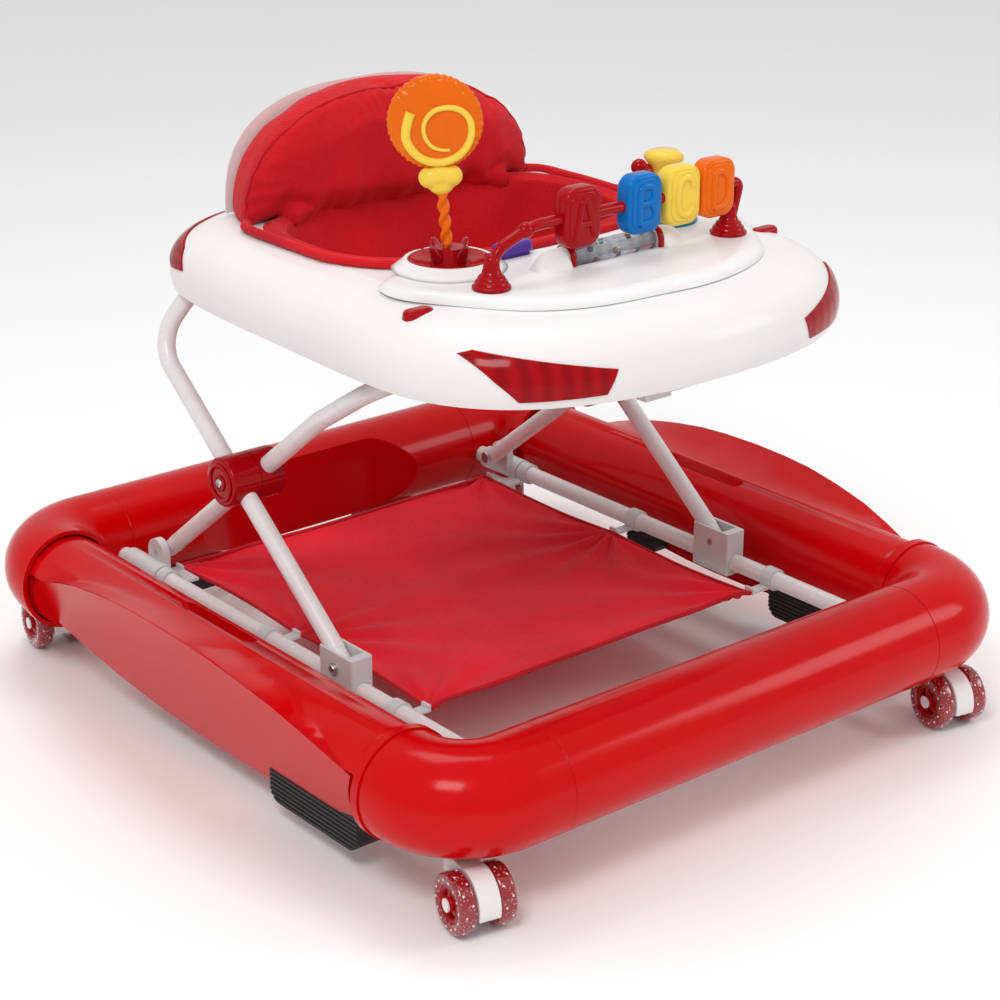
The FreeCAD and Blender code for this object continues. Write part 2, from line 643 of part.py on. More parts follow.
def letter_toy():
    bar_low = CONSOLE_Z + 3
    heights = [(BAR_BASE_X, bar_low), (BAR_TOP_X, BAR_Z), (-88, BAR_Z), (-BAR_BASE_X + 4, BAR_Z - 14),
               (-BAR_BASE_X, bar_low)]
    bar = pipe(arc_path([(x, BAR_Y, z) for x, z in heights], [5, 60, 16]), BAR_R)
    feet = []
    for side in (-1, 1):
        feet.append(Part.makeCone(15, 8, 12, V(side * BAR_BASE_X, BAR_Y, CONSOLE_Z)))
    save("letter_bar", fused(bar, *feet))
    width, deep, tall = BEAD_SIZE
    for letter, x in BEAD_X.items():
        bead = box((x - width / 2, x + width / 2), (BAR_Y - deep / 2, BAR_Y + deep / 2),
                   (BAR_Z - tall / 2, BAR_Z + tall / 2))
        bead = bead.makeFillet(7, [e for e in bead.Edges if abs(e.tangentAt(e.FirstParameter).y) > 0.9])
        bead = bead.makeFillet(2, [e for e in bead.Edges if abs(e.CenterOfMass.y - BAR_Y) > deep / 2 - 0.1])
        save("bead_%s" % letter, bead.cut(rod(V(x - 30, BAR_Y, BAR_Z), X_AXIS, BAR_R + RUN_GAP, 60)))


def roller_toy():
    left, right = ROLLER_X
    drum = rod(V(left, ROLLER_Y, ROLLER_Z), X_AXIS, ROLLER_R, right - left)
    pivot = rod(V(left - 5, ROLLER_Y, ROLLER_Z), X_AXIS, 3, right - left + 10)
    save("rattle_roller", fused(drum, pivot))
    stands = []
    for x in (left - 7, right + 1):
        stand = box((x, x + 6), (ROLLER_Y - ROLLER_R, ROLLER_Y + ROLLER_R), (CONSOLE_Z, ROLLER_Z))
        stand = fused(stand, rod(V(x, ROLLER_Y, ROLLER_Z), X_AXIS, ROLLER_R, 6))
        stand = stand.cut(box((x - 1, x + 7), (-300, 0), (CONSOLE_Z - 60, CONSOLE_Z)))
        stands.append(stand.cut(rod(V(x - 1, ROLLER_Y, ROLLER_Z), X_AXIS, 3 + RUN_GAP, 8)))
    save("roller_stands", *stands)


def lean(shape, at):
    """Tilts a shape about the foot of the lollipop's stem, towards the child's rear right."""
    turn = math.radians(LOLLY_FACE)
    shape.rotate(at, V(-math.sin(turn), math.cos(turn), 0), -LOLLY_LEAN)
    return shape


def lollipop_toy():
    at = V(LOLLY_X, LOLLY_Y, CONSOLE_Z)
    base = rod(at, Z_AXIS, 32, 5)
    base = base.makeFillet(1.5, [e for e in base.Edges if e.CenterOfMass.z > CONSOLE_Z + 4])
    crown = Part.makeCone(15, 12, 12, at + V(0, 0, 5))
    bore = lean(rod(at + V(0, 0, 3), Z_AXIS, 4 + RUN_GAP, 30), at)
    save("lollipop_base", fused(base, crown).cut(bore))
    neck = 18.4
    upper = rod(at + V(0, 0, neck), Z_AXIS, 5, LOLLY_Z - LOLLY_R - 4 - at.z - neck)
    stem = rod(at + V(0, 0, 4), Z_AXIS, 4, 20).fuse(upper)
    disc = rod(V(LOLLY_X, LOLLY_Y - 6.5, LOLLY_Z), Y_AXIS, LOLLY_R, 13)
    disc = disc.makeFillet(4, [e for e in disc.Edges if e.Curve.TypeId == "Part::GeomCircle"])
    low = LOLLY_Z - LOLLY_R - 17
    bow = box((LOLLY_X - 15, LOLLY_X + 15), (LOLLY_Y - 7.5, LOLLY_Y + 7.5), (low, low + 20))
    bow = bow.makeFillet(6, [e for e in bow.Edges if abs(e.tangentAt(e.FirstParameter).y) > 0.9])
    pop = fused(stem, disc, bow)
    pop.rotate(at, Z_AXIS, LOLLY_FACE)
    save("lollipop", lean(pop, at))


def spinner_toy():
    at = V(SPIN_X, SPIN_Y, CONSOLE_Z)
    base = rod(at, Z_AXIS, 30, 5)
    base = base.makeFillet(1.5, [e for e in base.Edges if e.CenterOfMass.z > CONSOLE_Z + 4])
    bore = rod(at + V(0, 0, 3), Z_AXIS, 4 + RUN_GAP, 30)
    save("spinner_base", fused(base, Part.makeCone(11, 8, 9, at + V(0, 0, 5))).cut(bore))
    stem = rod(at + V(0, 0, 4), Z_AXIS, 4, 14).fuse(rod(at + V(0, 0, 14.4), Z_AXIS, 6, 14))
    body = box((SPIN_X - 17, SPIN_X + 17), (SPIN_Y - 13, SPIN_Y + 13), (SPIN_Z - 16, SPIN_Z + 16))
    body = body.makeFillet(9, body.Edges)
    spin = fused(stem, body)
    seat = rod(V(SPIN_X - 14, SPIN_Y, SPIN_Z), V(-1, 0, 0), 6, 10)
    knobs = [Part.makeSphere(7, V(SPIN_X + x, SPIN_Y, SPIN_Z + z)) for x, z in ((-28, 5), (-31, -6))]
    save("spinner", spin)
    save("spinner_nose", fused(seat, *knobs).cut(body))


def latch():
    cap = pill(LATCH_X, LATCH_Y, LATCH_R, LATCH_TOP - 20, LATCH_TOP, LATCH_EXTRA)
    return cap.makeFillet(4, [e for e in cap.Edges if e.CenterOfMass.z > LATCH_TOP - 0.5])


def latches():
    save("console_latch_left", latch())
    save("console_latch_right", mirrored(latch()))


def squeaker():
    stem = pill(SQUEAK_X, SQUEAK_Y, 6, TOP_Z + 7, CONSOLE_Z + 5)
    cap = pill(SQUEAK_X, SQUEAK_Y, 8, CONSOLE_Z + 3.5, CONSOLE_Z + 12)
    cap = cap.makeFillet(4, [e for e in cap.Edges if e.CenterOfMass.z > CONSOLE_Z + 11.5])
    save("squeaker_button", fused(stem, cap))


os.makedirs("parts", exist_ok=True)
steel_rails()
corners()
cross_rails()
side_rails()
rear_joints()
mat_and_clips()
casters()
legs()
hubs()
sliders()
tray()
console()
seat_back()
seat_pouch()
tray_hardware()
letter_toy()
roller_toy()
lollipop_toy()
spinner_toy()
latches()
squeaker()
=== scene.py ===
import json
import math

import bmesh
import bpy
from mathutils import Matrix, Vector, noise
from mathutils.bvhtree import BVHTree


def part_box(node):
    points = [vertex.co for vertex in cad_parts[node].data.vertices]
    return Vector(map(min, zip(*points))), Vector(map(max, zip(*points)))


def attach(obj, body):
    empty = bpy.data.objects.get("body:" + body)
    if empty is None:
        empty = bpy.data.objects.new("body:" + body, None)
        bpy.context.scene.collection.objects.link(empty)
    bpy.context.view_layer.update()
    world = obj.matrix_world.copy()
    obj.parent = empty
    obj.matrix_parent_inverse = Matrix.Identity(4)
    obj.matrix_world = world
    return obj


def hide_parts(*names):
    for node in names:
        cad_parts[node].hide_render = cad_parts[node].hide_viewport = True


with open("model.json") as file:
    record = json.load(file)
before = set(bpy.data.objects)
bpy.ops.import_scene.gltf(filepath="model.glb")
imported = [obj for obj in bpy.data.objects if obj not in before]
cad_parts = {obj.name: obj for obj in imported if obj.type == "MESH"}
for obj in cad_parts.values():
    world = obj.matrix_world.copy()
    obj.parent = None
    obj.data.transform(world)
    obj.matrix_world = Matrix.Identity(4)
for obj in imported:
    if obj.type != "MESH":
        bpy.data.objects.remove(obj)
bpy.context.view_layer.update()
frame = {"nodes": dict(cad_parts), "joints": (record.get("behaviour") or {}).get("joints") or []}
scene = bpy.context.scene
MM = 0.001

# ---- materials ----


class Shader:
    """A Principled material whose colour, roughness and bump come from procedural nodes."""

    def __init__(self, name, **sockets):
        self.material = bpy.data.materials.new(name)
        self.material.use_nodes = True
        self.tree = self.material.node_tree
        self.bsdf = self.tree.nodes["Principled BSDF"]
        self.place = self.node("ShaderNodeTexCoord").outputs["Object"]
        self.height = None
        for socket, value in sockets.items():
            self.bsdf.inputs[socket.replace("_", " ")].default_value = value

    def node(self, kind, **settings):
        made = self.tree.nodes.new(kind)
        for key, value in settings.items():
            setattr(made, key, value)
        return made

    def link(self, output, target):
        self.tree.links.new(output, target)

    def noise(self, scale, detail=3.0, stretch=None):
        made = self.node("ShaderNodeTexNoise")
        made.inputs["Scale"].default_value = scale
        made.inputs["Detail"].default_value = detail
        place = self.place
        if stretch:
            mapping = self.node("ShaderNodeMapping")
            mapping.inputs["Scale"].default_value = stretch
            self.link(place, mapping.inputs["Vector"])
            place = mapping.outputs["Vector"]
        self.link(place, made.inputs["Vector"])
        return made.outputs["Fac"]

    def spread(self, source, low, high, start=0.3, end=0.7):
        made = self.node("ShaderNodeMapRange")
        made.inputs["From Min"].default_value = start
        made.inputs["From Max"].default_value = end
        made.inputs["To Min"].default_value = low
        made.inputs["To Max"].default_value = high
        self.link(source, made.inputs["Value"])
        return made.outputs["Result"]

    def colour(self, source, dark, light, start=0.3, end=0.7):
        ramp = self.node("ShaderNodeValToRGB")
        ramp.color_ramp.elements[0].position = start
        ramp.color_ramp.elements[1].position = end
        ramp.color_ramp.elements[0].color = (*dark, 1)
        ramp.color_ramp.elements[1].color = (*light, 1)
        self.link(source, ramp.inputs["Fac"])
        self.link(ramp.outputs["Color"], self.bsdf.inputs["Base Color"])

    def roughness(self, source, low, high):
        self.link(self.spread(source, low, high), self.bsdf.inputs["Roughness"])

    def math(self, operation, first, second):
        made = self.node("ShaderNodeMath", operation=operation)
        for i, value in enumerate((first, second)):
            if isinstance(value, (int, float)):
                made.inputs[i].default_value = value
            else:
                self.link(value, made.inputs[i])
        return made.outputs["Value"]

    def bump(self, source, distance, strength=1.0):
        made = self.node("ShaderNodeBump")
        made.inputs["Distance"].default_value = distance
        made.inputs["Strength"].default_value = strength
        self.link(source, made.inputs["Height"])
        if self.height:
            self.link(self.height, made.inputs["Normal"])
        self.height = made.outputs["Normal"]
        self.link(self.height, self.bsdf.inputs["Normal"])

    def wave(self, direction, period, distort=0.6):
        made = self.node("ShaderNodeTexWave", wave_type="BANDS", bands_direction=direction)
        made.inputs["Scale"].default_value = 2 * math.pi / (20 * period)
        made.inputs["Distortion"].default_value = distort
        self.link(self.place, made.inputs["Vector"])
        return made.outputs["Fac"]


def scaled(colour, factor):
    return tuple(min(1.0, c * factor) for c in colour)


def plastic(name, colour, rough=0.28, spread=0.025, mottle=0.04, orange_peel=0.00005, **sockets):
    """Moulded plastic: faint colour drift, uneven gloss, slight waviness and a fine moulding grain."""
    shader = Shader(name, **sockets)
    shader.colour(shader.noise(14), scaled(colour, 1 - mottle), scaled(colour, 1 + mottle))
    shader.roughness(shader.noise(30, 2), rough - spread, rough + spread)
    shader.bump(shader.noise(16, 1), orange_peel * 4)
    shader.bump(shader.noise(520, 2), orange_peel)
    return shader.material


def ribbed_lens(name, colour, period, direction, **sockets):
    """Coloured clear plastic with fine moulded ribs behind its skin."""
    shader = Shader(name, **sockets)
    ribs = shader.wave(direction, period, 0.0)
    shader.colour(ribs, scaled(colour, 0.8), scaled(colour, 1.1), 0.1, 0.9)
    shader.roughness(shader.noise(60), 0.08, 0.2)
    shader.bump(ribs, 0.00012)
    return shader.material


def cloth(name, colour, thread=0.0016, directions=("X", "Z"), creases=0.0012, **sockets):
    """Plain-woven cloth: crossing threads, slub, soft creases and worn lighter patches."""
    shader = Shader(name, **sockets)
    warp = shader.wave(directions[0], thread)
    weft = shader.wave(directions[1], thread)
    weave = shader.math("MAXIMUM", warp, weft)
    drift = shader.noise(9, 4)
    tone = shader.math("MULTIPLY_ADD", weave, 0.25)
    shader.link(drift, tone.node.inputs[2])
    shader.colour(tone, scaled(colour, 0.72), scaled(colour, 1.16), 0.35, 0.95)
    shader.roughness(shader.noise(220), 0.68, 0.9)
    shader.bump(shader.noise(24, 4), creases)
    shader.bump(weave, 0.00025)
    return shader.material


def painted_steel(name, colour, rough=0.3):
    shader = Shader(name, Coat_Weight=0.3, Coat_Roughness=0.2)
    shader.colour(shader.noise(20), scaled(colour, 0.95), scaled(colour, 1.03))
    shader.roughness(shader.noise(90, 5), rough - 0.06, rough + 0.08)
    shader.bump(shader.noise(900, 2), 0.00006)
    return shader.material


def bare_steel(name):
    shader = Shader(name, Metallic=1.0)
    shader.colour(shader.noise(300, 4, (1, 1, 12)), (0.42, 0.42, 0.43), (0.66, 0.66, 0.68))
    shader.roughness(shader.noise(500, 4, (1, 1, 14)), 0.25, 0.42)
    return shader.material


def glitter_tread(name, colour, fleck):
    """Clear tinted tread with pale flecks cast into it."""
    shader = Shader(name, Transmission_Weight=0.35, Coat_Weight=0.6, Coat_Roughness=0.08)
    cells = shader.node("ShaderNodeTexVoronoi")
    cells.inputs["Scale"].default_value = 420
    shader.link(shader.place, cells.inputs["Vector"])
    shader.colour(cells.outputs["Distance"], fleck, colour, 0.16, 0.3)
    shader.roughness(shader.noise(80), 0.12, 0.24)
    return shader.material


GLOSS = {"Coat_Weight": 0.05, "Coat_Roughness": 0.05, "Specular_IOR_Level": 0.13}
CLEAR = {"Coat_Weight": 0.2, "Coat_Roughness": 0.05, "Transmission_Weight": 0.35}
WEAVE = {"Sheen_Weight": 0.06, "Sheen_Roughness": 0.5, "Specular_IOR_Level": 0.15}
M = {
    "rail": plastic("rail_red", (0.56, 0.0008, 0.0025), 0.17, orange_peel=0.00009, **GLOSS),
    "white": plastic("shell_white", (0.79, 0.765, 0.76), 0.24, mottle=0.015, **GLOSS),
    "console": plastic("console_white", (0.79, 0.775, 0.775), 0.22, mottle=0.015, **GLOSS),
    "tube": painted_steel("tube_white", (0.74, 0.70, 0.70)),
    "fitting": plastic("fitting_grey", (0.60, 0.59, 0.59), 0.34, Subsurface_Weight=0.1),
    "rubber": plastic("rubber_black", (0.016, 0.016, 0.016), 0.62, orange_peel=0.0003),
    "steel": bare_steel("steel"),
    "toy_red": plastic("toy_red", (0.36, 0.0015, 0.005), 0.16, **GLOSS),
    "toy_blue": plastic("toy_blue", (0.003, 0.15, 0.48), 0.16, **GLOSS),
    "toy_yellow": plastic("toy_yellow", (0.84, 0.58, 0.07), 0.16, **GLOSS),
    "toy_orange": plastic("toy_orange", (0.78, 0.13, 0.003), 0.16, **GLOSS),
    "toy_purple": plastic("toy_purple", (0.10, 0.045, 0.33), 0.2, **GLOSS),
    "toy_teal": plastic("toy_teal", (0.015, 0.22, 0.28), 0.2, **GLOSS),
    "candy": plastic("candy_orange", (0.74, 0.13, 0.003), 0.12, mottle=0.12, **GLOSS),
    "crown": plastic("crown_clear_red", (0.45, 0.002, 0.010), 0.1, **CLEAR),
    "lamp": ribbed_lens("lamp_red", (0.33, 0.001, 0.004), 0.014, "X", **GLOSS),
    "tail": ribbed_lens("tail_red", (0.30, 0.001, 0.005), 0.010, "Z", **GLOSS),
    "clear": ribbed_lens("roller_clear", (0.80, 0.84, 0.88), 0.012, "X", Transmission_Weight=0.85, IOR=1.45),
    "cloth": cloth("cloth_red", (0.58, 0.007, 0.014), **WEAVE),
    # painted light: the mat's red is lifted well above the seat cloth's, standing in for light the mat
    # catches and offsetting the shade it gets under the seat
    "mat": cloth("mat_red_painted_light", (0.78, 0.010, 0.026), directions=("X", "Y"), creases=0.0018, **WEAVE),
    "hem": cloth("hem_red", (0.50, 0.006, 0.014), thread=0.003, directions=("X", "Y"), **WEAVE),
    "hub": plastic("wheel_hub_red", (0.42, 0.002, 0.008), 0.18, **GLOSS),
    "tread": glitter_tread("wheel_tread", (0.42, 0.012, 0.022), (0.75, 0.55, 0.57)),
    "dot": plastic("wheel_dot", (0.78, 0.72, 0.72), 0.3),
}

SIDES = ((-1, "right"), (1, "left"))
CORNERS = ["front_left", "front_right", "rear_left", "rear_right"]
CAD_LOOKS = {
    "rail": ["front_rail", "rear_rail", "side_rail_left", "side_rail_right"]
            + ["corner_" + c for c in CORNERS],
    "white": ["tray_shell", "back_shell"] + ["caster_fork_" + c for c in CORNERS],
    "console": ["play_console", "roller_stands"],
    "tube": ["side_tube_left", "side_tube_right", "outer_leg_frame", "inner_leg_frame"],
    "fitting": ["rear_joints", "mat_clips", "slider_left", "slider_right", "height_rack", "height_lever",
                "pivot_saddles"],
    "rubber": ["brake_pads"],
    "steel": ["rear_pivot_pins", "slider_pins"],
    "toy_red": ["letter_bar", "lollipop_base", "spinner_nose", "console_latch_left", "console_latch_right",
                "hub_outer_clamps", "hub_inner_clamps"],
    "toy_purple": ["squeaker_button"],
    "toy_teal": ["spinner_base"],
    "lamp": ["headlight_left", "headlight_right"],
    "tail": ["tail_lights"],
}


def paint(obj, look):
    obj.data.materials.clear()
    obj.data.materials.append(M[look])


for look, names in CAD_LOOKS.items():
    for node_name in names:
        paint(frame["nodes"][node_name], look)

# ---- mesh tools ----


def piece(name, verts, faces, look, body, smooth=True):
    """A new object in the shared frame, in metres, that rides on a CAD body."""
    mesh = bpy.data.meshes.new(name)
    mesh.from_pydata([tuple(v) for v in verts], [], faces)
    mesh.validate()
    mesh.shade_smooth() if smooth else mesh.shade_flat()
    obj = bpy.data.objects.new(name, mesh)
    scene.collection.objects.link(obj)
    return dress(obj, look, body)


def dress(obj, look, body):
    paint(obj, look)
    if body:
        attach(obj, body)
    return obj


def recalculate_normals(obj):
    bm = bmesh.new()
    bm.from_mesh(obj.data)
    bmesh.ops.remove_doubles(bm, verts=bm.verts, dist=1e-6)
    bmesh.ops.recalc_face_normals(bm, faces=bm.faces)
    bm.to_mesh(obj.data)
    bm.free()
    return obj


def grid_faces(rows, columns, wrap, first=0):
    faces = []
    for i in range(rows - 1):
        for j in range(columns if wrap else columns - 1):
            k = (j + 1) % columns
            faces.append((first + i * columns + j, first + i * columns + k,
                          first + (i + 1) * columns + k, first + (i + 1) * columns + j))
    return faces


def closed_faces(rows, columns, flip=False):
    """Faces of a skin of closed rings with a cap on each end; flip turns the caps over."""
    first, last = tuple(range(columns)), tuple(range((rows - 1) * columns, rows * columns))
    return grid_faces(rows, columns, True) + ([first, last[::-1]] if flip else [first[::-1], last])


def lathe(name, profile, place, look, body, steps=40, wobble=None, closed=False):
    """Turns (radius, height) points about the local Z axis; wobble(angle, row) scales the radius."""
    verts = []
    rows = list(profile) + ([profile[0]] if closed else [])
    for row, (radius, height) in enumerate(rows):
        for j in range(steps):
            a = 2 * math.pi * j / steps
            r = radius * (wobble(a, row) if wobble else 1)
            verts.append(place @ Vector((r * math.cos(a), r * math.sin(a), height)))
    faces = grid_faces(len(rows), steps, True) if closed else closed_faces(len(rows), steps)
    return recalculate_normals(piece(name, verts, faces, look, body))


def tube(name, points, radius, look, body, closed=False, taper=None, sides=5):
    """A round strand along a smooth curve; taper gives each point's share of the radius."""
    curve = bpy.data.curves.new(name, "CURVE")
    curve.dimensions = "3D"
    curve.bevel_depth = radius
    curve.bevel_resolution = sides
    curve.use_fill_caps = not closed
    spline = curve.splines.new("NURBS")
    spline.points.add(len(points) - 1)
    for i, p in enumerate(points):
        spline.points[i].co = (*p, 1)
        spline.points[i].radius = taper[i] if taper else 1
    spline.use_cyclic_u = closed
    spline.use_endpoint_u = not closed
    spline.order_u = 3
    spline.resolution_u = 4
    shape = bpy.data.objects.new(name, curve)
    scene.collection.objects.link(shape)
    bpy.context.view_layer.update()
    mesh = bpy.data.meshes.new_from_object(shape.evaluated_get(bpy.context.evaluated_depsgraph_get()))
    bpy.data.objects.remove(shape)
    mesh.name = name
    mesh.shade_smooth()
    obj = bpy.data.objects.new(name, mesh)
    scene.collection.objects.link(obj)
    return dress(obj, look, body)


def joined(name, objects):
    """Makes one object of several that ride on the same body."""
    with bpy.context.temp_override(active_object=objects[0], selected_editable_objects=objects):
        bpy.ops.object.join()
    objects[0].name = name
    return objects[0]


def apply_modifiers(obj):
    bpy.context.view_layer.update()
    mesh = bpy.data.meshes.new_from_object(obj.evaluated_get(bpy.context.evaluated_depsgraph_get()))
    obj.modifiers.clear()
    obj.data = mesh
    mesh.shade_smooth()


def ball(name, centre, size, look, body, rings=12, steps=20):
    """Ellipsoid with half sizes along x, y and z."""
    profile = []
    for i in range(rings + 1):
        a = math.pi * (0.02 + 0.96 * i / rings) - math.pi / 2
        profile.append((math.cos(a), math.sin(a)))
    place = Matrix.Translation(centre) @ Matrix.Diagonal((*size, 1))
    return lathe(name, profile, place, look, body, steps)


def middle(node_name):
    low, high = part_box(node_name)
    return (low + high) / 2


# ---- casters ----

TYRE = [(15.2, -7.2), (22, -7.4), (24.2, -6.2), (25, -3.8), (25, 3.8), (24.2, 6.2), (22, 7.4), (15.2, 7.2)]
HUB_RIM = [(12.4, -6.3), (15.1, -6.3), (15.1, 6.3), (12.4, 6.3)]
HUB_BOSS = [(3.3, -7.2), (5.2, -7.2), (6.0, -6.0), (6.0, 6.0), (5.2, 7.2), (3.3, 7.2)]
SPOKES = 5
DOT = (0.0011, 0.0011, 0.0011)      # half sizes of the raised dots
FACE_DOTS, TREAD_DOTS = 14, 18


def scaled_profile(profile):
    return [(r * MM, h * MM) for r, h in profile]


def spoke(name, place, angle, body):
    """Tapered bar from the boss to the rim."""
    turn = Matrix.Rotation(angle, 4, "Z")
    verts = []
    for radius, half, deep in ((4.5, 2.6, 5.0), (13.4, 1.7, 4.2)):
        for x, z in ((-half, -deep), (half, -deep), (half, deep), (-half, deep)):
            verts.append(place @ turn @ (Vector((radius, x, z)) * MM))
    return recalculate_normals(piece(name, verts, closed_faces(2, 4), "hub", body, smooth=False))


def caster_wheel(joint):
    short = joint["name"][len("spin_"):]
    node_name = "wheel_" + short
    body = joint["child"]
    axis = Vector(joint["axis"])
    place = Matrix.Translation(middle(node_name)) @ axis.to_track_quat("Z", "Y").to_matrix().to_4x4()
    tyre = lathe("tyre_" + short, scaled_profile(TYRE), place, "tread", body, 48, closed=True)
    parts = [lathe("rim", scaled_profile(HUB_RIM), place, "hub", body, 40, closed=True),
             lathe("boss", scaled_profile(HUB_BOSS), place, "hub", body, 24, closed=True)]
    parts += [spoke("spoke", place, 2 * math.pi * i / SPOKES, body) for i in range(SPOKES)]
    joined("wheel_hub_" + short, parts)
    dots = []
    for side in (-1, 1):
        for i in range(FACE_DOTS):
            a = 2 * math.pi * (i + side / 4) / FACE_DOTS
            at = Vector((19.5 * math.cos(a), 19.5 * math.sin(a), side * 7.0)) * MM
            dots.append(ball("dot", place @ at, DOT, "dot", body, 4, 8))
    for i in range(TREAD_DOTS):
        a = 2 * math.pi * i / TREAD_DOTS
        at = Vector((24.6 * math.cos(a), 24.6 * math.sin(a), 3.0 * (-1) ** i)) * MM
        dots.append(ball("dot", place @ at, DOT, "dot", body, 4, 8))
    joined("wheel_dots_" + short, dots)
    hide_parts(node_name)


for joint in frame["joints"]:
    if joint["name"].startswith("spin_"):
        caster_wheel(joint)

# ---- side rails and brake pads ----

# the rocker plate's flat outer face passes PLATE_X at height PLATE_Z, leans outwards and ends at PLATE_END
PLATE_X, PLATE_Z, PLATE_LEAN, PLATE_END = 0.318, 0.090, 0.40, 0.240
# centre and radius of the round walls that close the rail behind the plate's ends
RAIL_X, RAIL_Z, NECK_R = 0.288, 0.097, 0.0409


def copied(node_name, name, look):
    """A free copy of a fixed CAD node's mesh."""
    source = frame["nodes"][node_name]
    mesh = source.data.copy()
    mesh.transform(source.matrix_world)
    obj = bpy.data.objects.new(name, mesh)
    scene.collection.objects.link(obj)
    return dress(obj, look, "base")


# half outline of the rocker plate: distance from the middle, and upper and lower heights, in millimetres
PLATE_RIM = [(0, 152, 28), (40, 151.2, 28.7), (75, 149, 30.5), (112, 144, 34.5), (150, 137, 40),
             (182, 128, 47.5), (212, 118, 56), (228, 112.5, 60.5), (240, 109, 64)]


def plate_plane(z):
    return PLATE_X + PLATE_LEAN * (z - PLATE_Z)


def rocker_plate(side):
    """Flat lens-shaped face, 2 mm thick."""
    upper = [(y, top) for y, top, _ in PLATE_RIM]
    lower = [(y, low) for y, _, low in PLATE_RIM]
    rim = [(-y, z) for y, z in reversed(upper)] + upper[1:] + lower[::-1] + [(-y, z) for y, z in lower[1:]]
    verts = []
    for deep in (-0.0018, 0.0002):
        for y, z in rim:
            verts.append(Vector((side * (plate_plane(z * MM) + deep), y * MM, z * MM)))
    return recalculate_normals(piece("plate", verts, closed_faces(2, len(rim), True), "rail", "base"))


def rocker(side, node_name):
    """Side rail whose tube is cut flush with the rocker plate's flat face."""
    rail = copied(node_name, "rail", "rail")
    bm = bmesh.new()
    bm.from_mesh(rail.data)
    bmesh.ops.remove_doubles(bm, verts=bm.verts, dist=1e-6)
    for end in (-PLATE_END, PLATE_END):
        bmesh.ops.bisect_plane(bm, geom=bm.verts[:] + bm.edges[:] + bm.faces[:], plane_co=(0, end, 0),
                               plane_no=(0, 1, 0))
    middle_faces = [f for f in bm.faces if abs(f.calc_center_median().y) < PLATE_END]
    geom = list({v for f in middle_faces for v in f.verts}) + list({e for f in middle_faces for e in f.edges})
    bmesh.ops.bisect_plane(bm, geom=geom + middle_faces, clear_outer=True,
                           plane_co=(side * (PLATE_X - 0.0006), 0, PLATE_Z), plane_no=(side, 0, -PLATE_LEAN))
    bm.to_mesh(rail.data)
    bm.free()
    parts = [rail, rocker_plate(side)]
    for end in (-1, 1):
        ring = []
        for k in range(48):
            a = 2 * math.pi * k / 48
            ring.append((side * RAIL_X + NECK_R * math.cos(a), end * (PLATE_END + 0.0001),
                         RAIL_Z + NECK_R * math.sin(a)))
        parts.append(piece("wall", ring, [tuple(range(48))], "rail", "base"))
    rail = joined(node_name + "_shell", parts)
    rail.data.set_sharp_from_angle(angle=math.radians(24))
    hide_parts(node_name)


SIDE_PAD_X = 0.25                               # the side rails' pads lie outside this
REAR_PAD_FROM, REAR_PAD_TO = 0.04, 0.28         # and their rear pair between these depths
SHRINK_Y, PAD_UNDER_Z = 0.0525, 0.020           # depth they shrink towards, and their CAD underside
SHORTER, FLATTER = 0.36, 0.8
RAISED_Z, OUTER_X = 0.031, 0.290                # underside and outer face as shown


def brake_pads():
    """Ridged pads; the rear side pads are shown shorter, higher and further forward than in the CAD."""
    pads = copied("brake_pads", "brake_pad_rubber", "rubber")
    for v in pads.data.vertices:
        if abs(v.co.x) > SIDE_PAD_X and REAR_PAD_FROM < v.co.y < REAR_PAD_TO:
            v.co.z = RAISED_Z + (v.co.z - PAD_UNDER_Z) * FLATTER
            v.co.x = math.copysign(min(abs(v.co.x), OUTER_X), v.co.x)
            v.co.y = SHRINK_Y + (v.co.y - SHRINK_Y) * SHORTER
    pads.data.shade_flat()
    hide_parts("brake_pads")


rocker(1, "side_rail_left")
rocker(-1, "side_rail_right")
brake_pads()

# ---- foot mat ----

mat_low, mat_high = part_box("foot_mat")
MAT_HALF = mat_high.x
MAT_Z = mat_high.z + 0.0012
MAT_KNEE = 0.033                # depth of the middle clips' corners
MAT_CORNERS = [(MAT_HALF, mat_low.y), (MAT_HALF, MAT_KNEE), (MAT_HALF, mat_high.y)]
MAT_SAG, MAT_WRINKLE, MAT_RIPPLE = 0.007, 0.0042, 0.0012
MAT_THICK = 0.0012


def mat_point(u, v):
    """u from -1 to 1 across, v from 0 at the front to 1 at the rear."""
    y = mat_low.y + (mat_high.y - mat_low.y) * v
    knee = (MAT_KNEE - mat_low.y) / (mat_high.y - mat_low.y)
    along = v / knee if v < knee else (v - knee) / (1 - knee)
    half = MAT_HALF - 0.005 * math.sin(math.pi * along) ** 1.2
    edge = 0.004 * (1 - u * u)
    y += edge * (1 - v) - edge * v * 0.8
    return Vector((half * u, y, MAT_Z))


def mat_height(p):
    """Sag between the clips, creases that leave the corners, and a fine ripple."""
    along = (p.y - mat_low.y) / (mat_high.y - mat_low.y)
    sag = -MAT_SAG * max(0.0, 1 - (p.x / MAT_HALF) ** 2) * math.sin(math.pi * along)
    wrinkle = 0.0
    for cx, cy in MAT_CORNERS:
        for side in (-1, 1):
            away = Vector((p.x - side * cx, p.y - cy))
            distance = away.length
            angle = math.atan2(away.y, away.x)
            wrinkle += MAT_WRINKLE * math.exp(-distance / 0.10) * math.cos(12 * angle + side)
    ripple = MAT_RIPPLE * noise.noise(Vector((p.x * 14, p.y * 22, 0.3)))
    fade = min(1.0, (MAT_HALF - abs(p.x)) / 0.012)
    return sag + (wrinkle + ripple) * max(0.15, fade)


